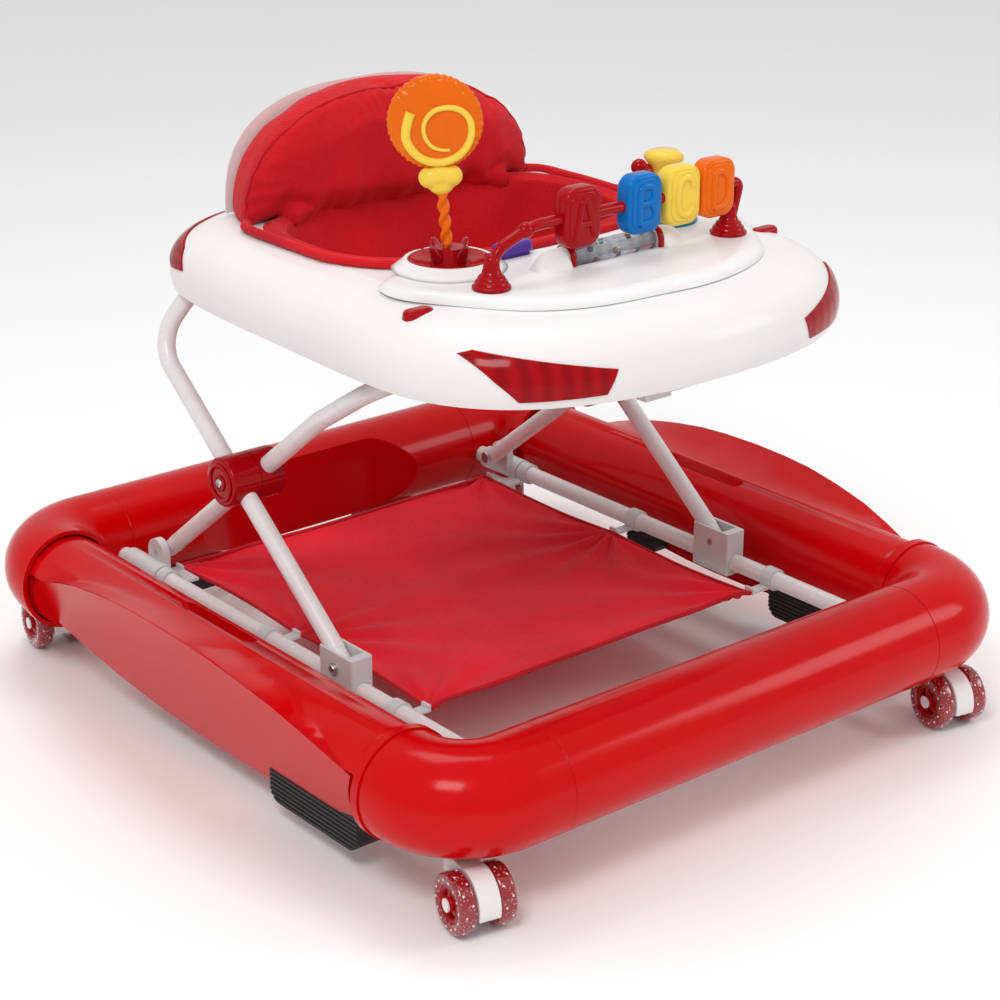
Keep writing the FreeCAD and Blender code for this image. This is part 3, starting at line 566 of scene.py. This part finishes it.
def foot_mat():
    columns, rows = 121, 121
    verts = [mat_point(-1 + 2 * j / (columns - 1), i / (rows - 1))
             for i in range(rows) for j in range(columns)]
    cloth_sheet = piece("foot_mat_cloth", verts, grid_faces(rows, columns, False), "mat", "base")
    for v in cloth_sheet.data.vertices:
        v.co.z += mat_height(v.co)
    solid = cloth_sheet.modifiers.new("thickness", "SOLIDIFY")
    solid.thickness = MAT_THICK
    apply_modifiers(cloth_sheet)
    for name, parts, radius, edge in (("front", 40, 0.0022, lambda t: (-1 + 2 * t, 0.0)),
                                      ("rear", 40, 0.0022, lambda t: (-1 + 2 * t, 1.0)),
                                      ("right", 60, 0.0016, lambda t: (-1, t)),
                                      ("left", 60, 0.0016, lambda t: (1, t))):
        line = []
        for i in range(parts + 1):
            p = mat_point(*edge(i / parts))
            p.z += mat_height(p)
            line.append(p)
        tube("foot_mat_hem_" + name, line, radius, "hem", "base", sides=3)
    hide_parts("foot_mat")


foot_mat()

# ---- seat back ----

pad_low, pad_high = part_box("backrest_pad")
SEAM_Y = pad_low.y + 0.009
PAD_TOP = pad_high.z - 0.004
PAD_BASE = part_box("play_console")[0].z + 0.0003
PAD_HALF = pad_high.x + 0.014
PAD_POWER = 2.25                # exponent of the dome's superellipse
# 1.5 mm inside the seat hole's edge: its rear, half of its straight run and the radius of its corners
HOLE_REAR, HOLE_STRAIGHT, HOLE_CORNER = 0.1485, 0.065, 0.0985
ROLL_R, ROLL_HALF = 0.0105, 0.122
PAD_VOXEL = 0.0045
SWELL_PRESSURE, SWELL_CAP, SWELL_FRAMES = 4.0, 0.007, 20


def pad_outline(angle, y):
    """Point of the pad's dome-shaped outline at depth y; angle runs from 0 to pi."""
    back = (y - pad_low.y) / (pad_high.y - pad_low.y)
    half = PAD_HALF - 0.026 * back
    c = math.copysign(abs(math.cos(angle)) ** (2 / PAD_POWER), math.cos(angle))
    s = math.sin(angle) ** (2 / PAD_POWER)
    return Vector((half * c, y, PAD_BASE + (PAD_TOP - PAD_BASE) * s))


def low_roll():
    """Thick lower edge of the pad that drops into the seat hole and follows its corners."""
    line = []
    for j in range(41):
        x = ROLL_HALF * (j - 20) / 20
        over = max(0.0, abs(x) - HOLE_STRAIGHT)
        rear = HOLE_REAR - HOLE_CORNER + math.sqrt(HOLE_CORNER ** 2 - over ** 2)
        line.append(Vector((x, rear - ROLL_R - 0.0008, pad_low.z + ROLL_R + 0.0002)))
    return tube("roll", line, ROLL_R, "cloth", None)


def swell(obj, pressure, cap, frames):
    """Inflates a closed mesh as cloth and keeps each point within cap of where it started."""
    before = [v.co.copy() for v in obj.data.vertices]
    sim = obj.modifiers.new("swell", "CLOTH")
    sim.settings.quality = 5
    sim.settings.use_pressure = True
    sim.settings.uniform_pressure_force = pressure
    sim.settings.effector_weights.gravity = 0
    sim.collision_settings.use_collision = False
    sim.collision_settings.use_self_collision = False
    sim.point_cache.frame_end = frames
    for number in range(1, frames + 1):
        scene.frame_set(number)
    apply_modifiers(obj)
    scene.frame_set(1)
    for v, old in zip(obj.data.vertices, before):
        step = v.co - old
        if step.length > cap:
            v.co = old + step.normalized() * cap


def pad_start():
    """Closed cushion body, a little smaller than the finished pad."""
    steps = 72
    verts = []
    levels = [(pad_high.y - 0.001, 0.98), (pad_high.y - 0.008, 0.985), (SEAM_Y + 0.012, 0.985),
              (SEAM_Y, 0.97), (SEAM_Y - 0.006, 0.90), (SEAM_Y - 0.009, 0.72), (SEAM_Y - 0.010, 0.35)]
    for y, share in levels:
        for j in range(steps + 1):
            p = pad_outline(math.pi * j / steps, max(y, pad_low.y))
            centre_z = PAD_BASE + 0.05
            verts.append(Vector((p.x * share, y, centre_z + (p.z - centre_z) * share)))
    faces = closed_faces(len(levels), steps + 1, True)
    return recalculate_normals(piece("backrest_cushion", verts, faces, "cloth", "tray"))


def pad_wrinkles(obj):
    """Gathers along the front seam and upright folds that fade towards the top."""
    for v in obj.data.vertices:
        p = v.co
        front = max(0.0, min(1.0, (SEAM_Y + 0.012 - p.y) / 0.014))
        low = max(0.0, 1 - (p.z - PAD_BASE) / 0.085)
        angle = math.atan2(p.z - PAD_BASE, p.x)
        edge = pad_outline(max(0.01, min(math.pi - 0.01, angle)), SEAM_Y)
        rim = Vector((p.x - edge.x, p.z - edge.z)).length
        gather = 0.0016 * math.exp(-rim / 0.018) * math.sin(60 * angle + 3 * noise.noise(p * 40))
        folds = 0.0048 * low ** 1.2 * noise.noise(Vector((p.x * 60, 0.2, p.z * 7)))
        soft = 0.0016 * noise.noise(Vector((p.x * 18 + p.z * 9, 1.7, p.z * 14)))
        crease = 0.0014 * noise.noise(Vector((p.x * 30 - p.z * 22, 4.1, p.z * 10)))
        side = (1 - front) * 0.0012 * noise.noise(Vector((p.y * 60, p.z * 26, 2.0)))
        v.co += v.normal * ((gather + folds + soft + crease) * front + side)


def backrest():
    pad = joined("backrest_cushion", [pad_start(), low_roll()])
    remesh = pad.modifiers.new("remesh", "REMESH")
    remesh.mode = "VOXEL"
    remesh.voxel_size = PAD_VOXEL
    apply_modifiers(pad)
    swell(pad, SWELL_PRESSURE, SWELL_CAP, SWELL_FRAMES)
    smooth = pad.modifiers.new("even", "SMOOTH")
    smooth.factor = 0.5
    smooth.iterations = 3
    finer = pad.modifiers.new("finer", "SUBSURF")
    finer.levels = 1
    apply_modifiers(pad)
    pad_wrinkles(pad)
    for v in pad.data.vertices:
        over_hole = v.co.y < HOLE_REAR and abs(v.co.x) < 0.135
        v.co.z = max(v.co.z, pad_low.z if over_hole else PAD_BASE)
        v.co.y = min(v.co.y, pad_high.y)
    surface = BVHTree.FromPolygons([v.co.copy() for v in pad.data.vertices],
                                   [tuple(f.vertices) for f in pad.data.polygons])
    piping = []
    for j in range(2, 69):
        ideal = pad_outline(math.pi * j / 70, SEAM_Y)
        location, normal, _, _ = surface.find_nearest(ideal)
        piping.append(location + normal * 0.0002)
    tube("backrest_piping", piping, 0.0011, "hem", "tray", sides=3)
    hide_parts("backrest_pad")


backrest()

# ---- seat ----

# half width, front y, rear y and height of the bag's level curves, in millimetres
BAG = [(165, -75, 138, 431), (158, -68, 137, 434.5), (152, -62, 136, 430), (150, -58, 134, 406),
       (141, -50, 127, 372), (128, -40, 118, 349), (112, -29, 106, 337.5), (90, -14, 90, 335.6),
       (66, 4, 76, 335.3), (40, 20, 60, 335.3), (12, 34, 46, 335.3)]
BAG_THICK = 0.0022
LEG_X, LEG_Y, LEG_R = 0.057, 0.008, 0.032       # middle and radius of the leg holes


def bag_ring(share):
    """Level curve of the bag: share runs from 0 at the lip to 1 at the bottom."""
    where = share * (len(BAG) - 1)
    i = min(int(where), len(BAG) - 2)
    t = where - i
    return [BAG[i][k] * (1 - t) + BAG[i + 1][k] * t for k in range(4)]


def seat_bag():
    rows, columns = 96, 132
    verts = []
    for i in range(rows):
        share = i / (rows - 1)
        half, front, rear, z = bag_ring(share)
        for j in range(columns):
            a = 2 * math.pi * j / columns
            at_rear = max(0.0, math.sin(a)) ** 0.5 * max(0.0, 1 - share / 0.3)
            square = 0.75 - 0.4 * at_rear
            c = math.copysign(abs(math.cos(a)) ** square, math.cos(a))
            s = math.copysign(abs(math.sin(a)) ** square, math.sin(a))
            deep = min(1.0, max(0.0, (share - 0.2) / 0.2))
            fold = 0.0026 * deep * math.sin(9 * a + 3 * noise.noise(Vector((c, s, share * 3))))
            fold += 0.0018 * deep * noise.noise(Vector((c * 6, s * 6, share * 5)))
            pull = 1 - fold / 0.15
            x = half * MM * c * pull
            y = ((front + rear) / 2 + (rear - front) / 2 * s * pull) * MM
            verts.append(Vector((x, y, z * MM)))
    bag = piece("seat_bag", verts, grid_faces(rows, columns, True), "cloth", "tray")
    bm = bmesh.new()
    bm.from_mesh(bag.data)
    bm.faces.new([v for v in sorted(bm.verts, key=lambda v: v.index)[-columns:]])
    gone = []
    for face in bm.faces:
        c = face.calc_center_median()
        for side in (-1, 1):
            if c.z < 0.37 and math.hypot(c.x - side * LEG_X, c.y - LEG_Y) < LEG_R:
                gone.append(face)
    bmesh.ops.delete(bm, geom=gone, context="FACES")
    bmesh.ops.recalc_face_normals(bm, faces=bm.faces)
    rims = {1: [], -1: []}
    for v in bm.verts:
        if v.is_boundary and v.co.z < 0.4:
            side = 1 if v.co.x > 0 else -1
            away = Vector((v.co.x - side * LEG_X, v.co.y - LEG_Y))
            away = away.normalized() * LEG_R
            v.co.x, v.co.y = side * LEG_X + away.x, LEG_Y + away.y
            rims[side].append((math.atan2(away.y, away.x), v.co.copy()))
    bm.to_mesh(bag.data)
    bm.free()
    solid = bag.modifiers.new("thickness", "SOLIDIFY")
    solid.thickness = BAG_THICK
    solid.offset = 0
    apply_modifiers(bag)
    for side, name in ((1, "left"), (-1, "right")):
        line = [p for _, p in sorted(rims[side], key=lambda r: r[0])]
        tube("leg_hole_binding_" + name, line, 0.0028, "hem", "tray", closed=True, sides=3)
    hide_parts("seat_pouch")


RIM_Z, RIM_R = 0.4335, 0.0042
RIM_LOW = 0.4306                # just above the tray's top


def seat_rim():
    """Padded roll of cloth around the tray's hole, from one end of the seat back to the other."""
    half, front, rear, corner = 0.168, -0.078, 0.116, 0.096
    ends = [(0.148, 0.137), (0.160, 0.130), (half, rear), (half, (rear + front + corner) / 2)]
    line = [Vector((x, y, RIM_Z)) for x, y in ends]
    for j in range(61):
        a = math.pi * j / 60
        straight = 0.0 if j == 30 else math.copysign(half - corner, math.cos(a))
        line.append(Vector((straight + corner * math.cos(a), front + corner - corner * math.sin(a), RIM_Z)))
    line += [Vector((-x, y, RIM_Z)) for x, y in reversed(ends)]
    roll = tube("seat_rim_roll", line, RIM_R, "cloth", "tray", sides=6)
    for v in roll.data.vertices:
        v.co.z = max(v.co.z, RIM_LOW)
        v.co += v.normal * 0.0007 * noise.noise(Vector((v.co.x * 90, v.co.y * 90, 0)))


seat_bag()
seat_rim()

# ---- letter beads ----


# strokes of the raised letters: across and up, from -1 to 1
STROKES = {
    "A": [[(-1, -1), (-0.5, 0.3), (-0.25, 0.95), (0.25, 0.95), (0.5, 0.3), (1, -1)],
          [(-0.66, -0.3), (0.66, -0.3)]],
    "B": [[(-0.75, -1), (-0.75, 0), (-0.75, 1), (0.35, 1), (0.8, 0.75), (0.75, 0.2), (0.3, 0.05),
           (-0.7, 0.05)],
          [(-0.75, -1), (0.4, -1), (0.95, -0.75), (0.9, -0.2), (0.3, 0.05)]],
    "C": [[(0.85, 0.5), (0.6, 0.95), (0, 1.05), (-0.7, 0.85), (-0.9, 0.2), (-0.9, -0.2), (-0.7, -0.85),
           (0, -1.05), (0.6, -0.95), (0.85, -0.5)]],
    "D": [[(-0.75, -1), (-0.75, 0), (-0.75, 1), (0.2, 1), (0.85, 0.6), (0.9, 0), (0.85, -0.6), (0.2, -1),
           (-0.75, -1)]],
}
STROKE_R = 0.0031


def letter_mesh(letter, look, height, width):
    """Raised letter with round strokes, centred, standing in the XZ plane and facing -Y."""
    strokes = []
    for stroke in STROKES[letter]:
        line = [Vector((x * (width / 2 - STROKE_R), 0, z * (height / 2 - STROKE_R))) for x, z in stroke]
        strokes.append(tube("stroke", line, STROKE_R, look, None, sides=4))
    raised = joined("letter", strokes)
    for v in raised.data.vertices:
        v.co.y *= 0.85
    return raised


def rounded_block(name, half_x, half_y, half_z, corner, edge, look, body, at):
    """Block with large round corners seen from the front and softly rounded face edges."""
    rim = []
    for cx, cz, start in ((1, 1, 0), (-1, 1, 90), (-1, -1, 180), (1, -1, 270)):
        for k in range(9):
            a = math.radians(start + 90 * k / 8)
            rim.append((cx * (half_x - corner) + corner * math.cos(a),
                        cz * (half_z - corner) + corner * math.sin(a)))
    levels = []
    for k in range(5):
        a = math.pi / 2 * k / 4
        levels.append((half_y - edge + edge * math.sin(a), 1 - math.cos(a)))
    levels = [(-y, drop) for y, drop in reversed(levels)] + levels
    verts = []
    for y, drop in levels:
        for x, z in rim:
            verts.append(at + Vector((x * (1 - edge * drop / half_x), y, z * (1 - edge * drop / half_z))))
    faces = closed_faces(len(levels), len(rim), True)
    return recalculate_normals(piece(name, verts, faces, look, body))


def bead(letter, look):
    node_name = "bead_" + letter.lower()
    low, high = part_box(node_name)
    at = (low + high) / 2
    half = (high - low) / 2
    block = rounded_block("bead_block_" + letter, half.x - 0.0005, half.y - 0.004, half.z - 0.0005,
                          0.0115, 0.003, look, node_name, at)
    plate = rounded_block("plate", half.x - 0.004, half.y - 0.0026, half.z - 0.004, 0.010, 0.0014,
                          look, node_name, at)
    block = joined("bead_block_" + letter, [block, plate])
    for turn, name in ((0, "front"), (math.pi, "rear")):
        face = letter_mesh(letter, look, 2 * half.z - 0.013, 2 * half.x - 0.012)
        face.name = "bead_letter_%s_%s" % (letter, name)
        place = Matrix.Translation(at) @ Matrix.Rotation(turn, 4, "Z")
        face.data.transform(place @ Matrix.Translation((0, -(half.y - 0.0030), 0)))
        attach(face, node_name)
    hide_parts(node_name)


for letter, look in (("A", "toy_red"), ("B", "toy_blue"), ("C", "toy_yellow"), ("D", "toy_orange")):
    bead(letter, look)

# ---- letter bar trim ----

bar_low, bar_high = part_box("letter_bar")
bar_y = (bar_low.y + bar_high.y) / 2
FOOT_X = 0.128
FOOT = [(15.5, 0.2), (15.5, 2.4), (14.6, 3.2), (13.4, 3.4), (13.2, 6.0), (12.2, 7.0), (11.0, 7.2),
        (10.8, 9.6), (9.8, 10.6), (8.4, 11.2), (6.8, 16), (6.0, 22), (5.6, 27)]
for side, name in SIDES:
    foot = Matrix.Translation((side * FOOT_X, bar_y, bar_low.z))
    lathe("bar_foot_" + name, scaled_profile(FOOT), foot, "toy_red", "tray", 36)
ball("bar_knob", Vector((-0.094, bar_y, bar_high.z - 0.0070)), (0.0072, 0.0066, 0.0066), "toy_red", "tray")

# ---- roller ----

roller_low, roller_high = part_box("rattle_roller")
roller_at = middle("rattle_roller")
roller_r = (roller_high.z - roller_low.z) / 2
roller_half = (roller_high.x - roller_low.x) / 2 - 0.005
ROLLER_BEAD = (0.0026, 0.0026, 0.0026)


def roller():
    place = Matrix.Translation(roller_at) @ Matrix.Rotation(math.pi / 2, 4, "Y")
    r = roller_r
    shell = lathe("roller_shell", [(r * 0.7, -roller_half), (r * 0.97, -roller_half + 0.0008),
                                   (r * 0.97, roller_half - 0.0008), (r * 0.7, roller_half)],
                  place, "clear", "rattle_roller", 96,
                  lambda a, row: 1 - 0.045 * (0.5 - 0.5 * math.cos(12 * a)))
    lathe("roller_spindle", [(0.0029, -roller_half - 0.0048), (0.0029, roller_half + 0.0048)], place,
          "console", "rattle_roller", 20)
    for i in range(9):
        a = 2.4 * i
        x = roller_at.x - roller_half + 0.010 + i * (2 * roller_half - 0.02) / 8
        at = Vector((x, roller_at.y + 0.0058 * math.cos(a), roller_at.z + 0.0058 * math.sin(a)))
        look = ("toy_red", "toy_purple", "toy_red", "toy_teal")[i % 4]
        ball("roller_bead_%d" % (i + 1), at, ROLLER_BEAD, look, "rattle_roller", 8, 14)
    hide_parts("rattle_roller")


def arch(name, x0, x1, radius, look):
    """Solid arch over the roller's end, standing on the console."""
    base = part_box("roller_stands")[0].z
    verts = []
    steps = 28
    for x in (x0, x1):
        for j in range(steps + 1):
            a = math.pi * j / steps
            verts.append(Vector((x, roller_at.y + radius * math.cos(a), roller_at.z + radius * math.sin(a))))
        for y in (-radius, radius):
            verts.append(Vector((x, roller_at.y + y, base)))
    made = piece(name, verts, closed_faces(2, steps + 3, True), look, "tray", smooth=False)
    bevel = made.modifiers.new("edges", "BEVEL")
    bevel.width = 0.0008
    bevel.segments = 2
    bevel.limit_method = "ANGLE"
    apply_modifiers(recalculate_normals(made))


def saddle(name, x_near, x_far):
    """White rounded hump of the console that rises to the roller's end."""
    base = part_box("roller_stands")[0].z
    height = roller_at.z + roller_r + 0.0006 - base
    steps, rows = 28, 16
    verts = []
    for i in range(rows):
        t = i / (rows - 1)
        x = x_near + (x_far - x_near) * t
        round_off = math.sqrt(max(0.0, 1 - t ** 2.2))
        for j in range(steps + 1):
            a = math.pi * j / steps
            foot = 0.004 * (1 - math.sin(a)) ** 4
            y = math.cos(a) * ((roller_r + 0.0012) * (0.35 + 0.65 * round_off) + foot)
            z = base - 0.0006 + height * round_off ** 0.8 * math.sin(a)
            verts.append(Vector((x, roller_at.y + y, z)))
    return recalculate_normals(piece(name, verts, closed_faces(rows, steps + 1, True), "console", "tray"))


roller()
stands_low, stands_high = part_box("roller_stands")
arch("roller_arch_right", stands_low.x + 0.0002, stands_low.x + 0.0058, roller_r + 0.0016, "toy_red")
arch("roller_arch_left", stands_high.x - 0.0058, stands_high.x - 0.0002, roller_r + 0.0016, "toy_red")
saddle("roller_saddle_right", stands_low.x, stands_low.x - 0.030)
saddle("roller_saddle_left", stands_high.x, stands_high.x + 0.026)

# ---- lollipop ----

LOLLY_FACE = math.radians(-39)
LOLLY_LEAN = math.radians(-5)
LOLLY_R = 0.038
lolly_joint = [j for j in frame["joints"] if j["name"] == "lollipop_turn"][0]
lolly_foot = Vector(lolly_joint["pos_m"])
lolly_lean_axis = Vector((-math.sin(LOLLY_FACE), math.cos(LOLLY_FACE), 0))
LOLLY = (Matrix.Translation(lolly_foot) @ Matrix.Rotation(LOLLY_LEAN, 4, lolly_lean_axis)
         @ Matrix.Rotation(LOLLY_FACE, 4, "Z"))
DISC_Z = 0.118           # disc centre above the stem's foot


def candy_disc():
    """Lens with a pleated wrapper rim, front and rear."""
    rings, steps = 26, 180
    verts = []
    for side in (-1, 1):
        for i in range(rings + 1):
            r = LOLLY_R * i / rings
            for j in range(steps):
                a = 2 * math.pi * j / steps
                outer = max(0.0, (r / LOLLY_R - 0.55) / 0.45)
                wander = noise.noise(Vector((3 * math.cos(a), 3 * math.sin(a), 5 * r / LOLLY_R)))
                pleat = 0.0017 * outer * abs(math.sin(13 * a + 2.2 * wander))
                edge = 1 - 0.022 * outer * math.sin(22 * a) ** 2
                thick = 0.0052 * math.sqrt(max(0.0, 1 - (r / LOLLY_R) ** 4)) + 0.0008 - 0.0012 * outer + pleat
                point = Vector((r * edge * math.cos(a), side * thick, DISC_Z + r * edge * math.sin(a)))
                verts.append(LOLLY @ point)
    faces = grid_faces(rings + 1, steps, True) + grid_faces(rings + 1, steps, True, (rings + 1) * steps)
    last = rings * steps
    for j in range(steps):
        k = (j + 1) % steps
        other = (rings + 1) * steps
        faces.append((last + j, last + k, other + last + k, other + last + j))
    return recalculate_normals(piece("lollipop_disc", verts, faces, "candy", "lollipop"))


# centre line of the icing in millimetres from the disc's centre: across and up
ICING = [(-18, 10), (-25, -5), (-22, -18), (-12, -29), (2.5, -32.5), (17, -28), (26.5, -17), (29, -3),
         (24, 7), (14, 12), (0.5, 11), (-8, 3), (-10, -7.5), (-6, -17), (2.5, -22), (9.7, -22)]


def candy_spiral(side):
    """Tapering line of icing that winds inwards."""
    points, taper = [], []
    for i, (across, up) in enumerate(ICING):
        away = math.hypot(across, up) * MM / LOLLY_R
        lift = 0.0060 * math.sqrt(max(0.0, 1 - away ** 4)) + 0.0006
        points.append(LOLLY @ Vector((-side * across * MM, side * lift, DISC_Z + up * MM)))
        taper.append(1.0 - 0.7 * i / (len(ICING) - 1))
    name = "lollipop_spiral_" + ("front" if side < 0 else "rear")
    tube(name, points, 0.0041, "toy_yellow", "lollipop", taper=taper, sides=6)


def candy_stem():
    """Two-strand twisted stick."""
    verts = []
    rows, steps = 90, 20
    low, high = 0.004, DISC_Z - LOLLY_R - 0.008
    for i in range(rows):
        z = low + (high - low) * i / (rows - 1)
        slim = 0.95 if z > 0.019 else 0.70
        for j in range(steps):
            a = 2 * math.pi * j / steps
            r = slim * (0.0043 + 0.0011 * math.cos(2 * a - 2 * math.pi * z / 0.0125))
            verts.append(LOLLY @ Vector((r * math.cos(a), r * math.sin(a), z)))
    recalculate_normals(piece("lollipop_stem", verts, closed_faces(rows, steps), "toy_orange", "lollipop"))


def candy_bow():
    """Knotted wrapper under the disc."""
    parts = []
    for name, x, z, size in (("lobe", -0.0080, 0.0, (0.0098, 0.0080, 0.0090)),
                             ("lobe", 0.0080, 0.0, (0.0098, 0.0080, 0.0090)),
                             ("knot", 0.0, 0.0015, (0.0105, 0.0086, 0.0095)),
                             ("tail", 0.0, -0.0075, (0.0100, 0.0070, 0.0070))):
        centre = Vector((x, 0, DISC_Z - LOLLY_R - 0.006 + z))
        part = ball(name, centre, size, "toy_yellow", None)
        part.data.transform(LOLLY)
        parts.append(part)
    bow = joined("lollipop_bow", parts)
    remesh = bow.modifiers.new("melt", "REMESH")
    remesh.mode = "VOXEL"
    remesh.voxel_size = 0.0009
    soft = bow.modifiers.new("soft", "SMOOTH")
    soft.iterations = 14
    apply_modifiers(bow)
    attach(bow, "lollipop")


DISH = [(9, 5.2), (18, 5.4), (26, 6.4), (30, 8.0), (32.3, 8.2), (33.2, 6.8), (33.2, 0.3), (9, 0.3)]
BOWL = [(33.5, 0.2), (33.5, 7.6), (34.6, 8.4), (36.4, 7.8), (39, 5.4), (43, 2.2), (47, 0.2)]
COLLAR = [(5.6, 5.4), (8.6, 5.4), (8.6, 9.4), (7.2, 10.6), (5.6, 10.6)]


def crown():
    """Dished base plate with clear pointed leaves around the stem."""
    at = Vector((lolly_foot.x, lolly_foot.y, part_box("lollipop_base")[0].z))
    place = Matrix.Translation(at)
    lathe("lollipop_dish", scaled_profile(DISH), place, "toy_red", "tray", 56, closed=True)
    bowl = lathe("lollipop_bowl_rim", scaled_profile(BOWL), place, "console", "tray", 64, closed=True)
    for v in bowl.data.vertices:
        v.co.y = min(v.co.y, at.y + 0.0335)      # flush with the console's edge at the seat hole
    lathe("lollipop_collar", scaled_profile(COLLAR), place, "toy_orange", "tray", 32, closed=True)
    leaves = []
    for i in range(4):
        turn = place @ Matrix.Rotation(math.radians(90 * i + 6), 4, "Z")
        verts = []
        rows = ((0.0, 9.5, 13.0, 4.5), (5.0, 10.0, 14.0, 4.0), (10.0, 8.6, 16.0, 3.2), (14.0, 5.6, 18.0, 2.4),
                (16.5, 2.4, 19.2, 1.4))
        for z, half, radius, thick in rows:
            for x, y in ((-half, 0), (0, -thick), (half, 0), (0, thick)):
                verts.append(turn @ (Vector((x, radius + y, z + 5)) * MM))
        leaf = recalculate_normals(piece("leaf", verts, closed_faces(len(rows), 4), "crown", "tray"))
        finer = leaf.modifiers.new("round", "SUBSURF")
        finer.levels = 2
        apply_modifiers(leaf)
        leaves.append(leaf)
    joined("lollipop_crown", leaves)


disc = candy_disc()
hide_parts("lollipop")
candy_spiral(-1)
candy_spiral(1)
candy_stem()
candy_bow()
crown()

# ---- spinner ----


def spinner():
    low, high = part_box("spinner")
    centre_x = (low.x + high.x) / 2
    centre_y = (low.y + high.y) / 2
    top = high.z
    place = Matrix.Translation((centre_x, centre_y, 0))
    waist = top - 0.016
    profile = [(0.004, top - 0.0006), (0.0125, top - 0.001), (0.0162, top - 0.004), (0.0166, top - 0.008),
               (0.0125, waist + 0.002), (0.0115, waist - 0.002), (0.0150, waist - 0.008),
               (0.0166, waist - 0.012), (0.0150, waist - 0.0155), (0.0062, waist - 0.0158),
               (0.0060, waist - 0.028), (0.0039, waist - 0.029), (0.0039, low.z)]
    body = lathe("spinner_body", profile, place, "toy_yellow", "spinner", 40,
                 lambda a, row: 1 + (0.06 * math.cos(6 * a) if row in (1, 2, 3, 6, 7, 8) else 0))
    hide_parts("spinner")


spinner()

# ---- trim on the frame ----


def screw(name, at, axis, radius, body):
    """Pan head with a crossed recess, standing on a face."""
    axis = Vector(axis).normalized()
    place = Matrix.Translation(at) @ axis.to_track_quat("Z", "Y").to_matrix().to_4x4()
    profile = [(radius, 0), (radius, radius * 0.25), (radius * 0.8, radius * 0.5),
               (radius * 0.3, radius * 0.6)]
    head = lathe(name, profile, place, "steel", body, 24)
    for turn in (0, math.pi / 2):
        cut = piece("cut", [place @ Matrix.Rotation(turn, 4, "Z") @ Vector((x, y, z))
                            for z in (radius * 0.35, radius) for x, y in
                            ((-radius * 0.55, -radius * 0.1), (radius * 0.55, -radius * 0.1),
                             (radius * 0.55, radius * 0.1), (-radius * 0.55, radius * 0.1))],
                    [(3, 2, 1, 0), (4, 5, 6, 7), (0, 1, 5, 4), (1, 2, 6, 5), (2, 3, 7, 6), (3, 0, 4, 7)],
                    "steel", None, smooth=False)
        carve = head.modifiers.new("slot", "BOOLEAN")
        carve.object = cut
        carve.operation = "DIFFERENCE"
        apply_modifiers(head)
        bpy.data.objects.remove(cut)
    head.data.shade_flat()


SCREW_R = 0.0042
hub_low, hub_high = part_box("hub_outer_clamps")
hub_centre = Vector((0, (hub_low.y + hub_high.y) / 2, (hub_low.z + hub_high.z) / 2))
for side, name in SIDES:
    face = Vector((side * hub_high.x, hub_centre.y, hub_centre.z))
    turned = Matrix.Translation(face) @ Matrix.Rotation(side * math.pi / 2, 4, "Y")
    lathe("hub_cap_ring_" + name, scaled_profile([(17.5, 0), (17.5, 1.2), (16, 2.0), (13.5, 1.2), (13.5, 0)]),
          turned, "toy_red", "outer_legs", 40, closed=True)
    lathe("hub_cap_boss_" + name, scaled_profile([(7.5, 0), (7.2, 1.4), (5.2, 1.8), (5.0, 0.6)]), turned,
          "toy_red", "outer_legs", 32)
    screw("hub_screw_" + name, face + Vector((side * 0.0006, 0, 0)), (side, 0, 0), SCREW_R, "outer_legs")


pin_low, pin_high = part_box("slider_pins")
for side, name in SIDES:
    at = Vector((side * pin_high.x, (pin_low.y + pin_high.y) / 2, (pin_low.z + pin_high.z) / 2))
    screw("slider_screw_" + name, at, (side, 0, 0), SCREW_R, "sliders")

# ---- stage, lights and camera ----


def stage():
    mesh = bpy.data.meshes.new("floor")
    far = 12.0
    mesh.from_pydata([(-far, -far, 0), (far, -far, 0), (far, far, 0), (-far, far, 0)], [], [(0, 1, 2, 3)])
    floor = bpy.data.objects.new("floor", mesh)
    scene.collection.objects.link(floor)
    shader = Shader("floor_pale")
    shader.colour(shader.noise(2), (0.97, 0.97, 0.97), (0.98, 0.98, 0.98))
    shader.roughness(shader.noise(5), 0.6, 0.7)
    mesh.materials.append(shader.material)
    world = bpy.data.worlds.new("studio")
    scene.world = world
    world.use_nodes = True
    background = world.node_tree.nodes["Background"]
    background.inputs["Color"].default_value = (1, 1, 1, 1)
    background.inputs["Strength"].default_value = 0.68
    scene.view_settings.view_transform = "Standard"


def softbox(name, place, target, size, energy):
    light = bpy.data.lights.new(name, "AREA")
    light.shape = "RECTANGLE"
    light.size, light.size_y = size
    light.energy = energy
    lamp = bpy.data.objects.new(name, light)
    lamp.location = place
    lamp.rotation_euler = (Vector(target) - Vector(place)).to_track_quat("-Z", "Y").to_euler()
    scene.collection.objects.link(lamp)


def camera():
    data = bpy.data.cameras.new("camera")
    data.lens = 86.2
    data.sensor_width = 36
    view = bpy.data.objects.new("camera", data)
    view.location = (-1.2572, -1.5515, 0.9692)
    aim = Vector((-0.0242, -0.050, 0.200)) - view.location
    view.rotation_euler = aim.to_track_quat("-Z", "Y").to_euler()
    scene.collection.objects.link(view)
    scene.camera = view


stage()
softbox("key", (-1.6, -1.2, 2.2), (0, 0, 0.2), (0.9, 0.7), 25)
softbox("fill", (1.8, -1.6, 1.4), (0, 0, 0.3), (0.8, 0.8), 10)
softbox("top", (0.2, 0.6, 2.4), (0, 0, 0.3), (1.2, 0.8), 14)
camera()
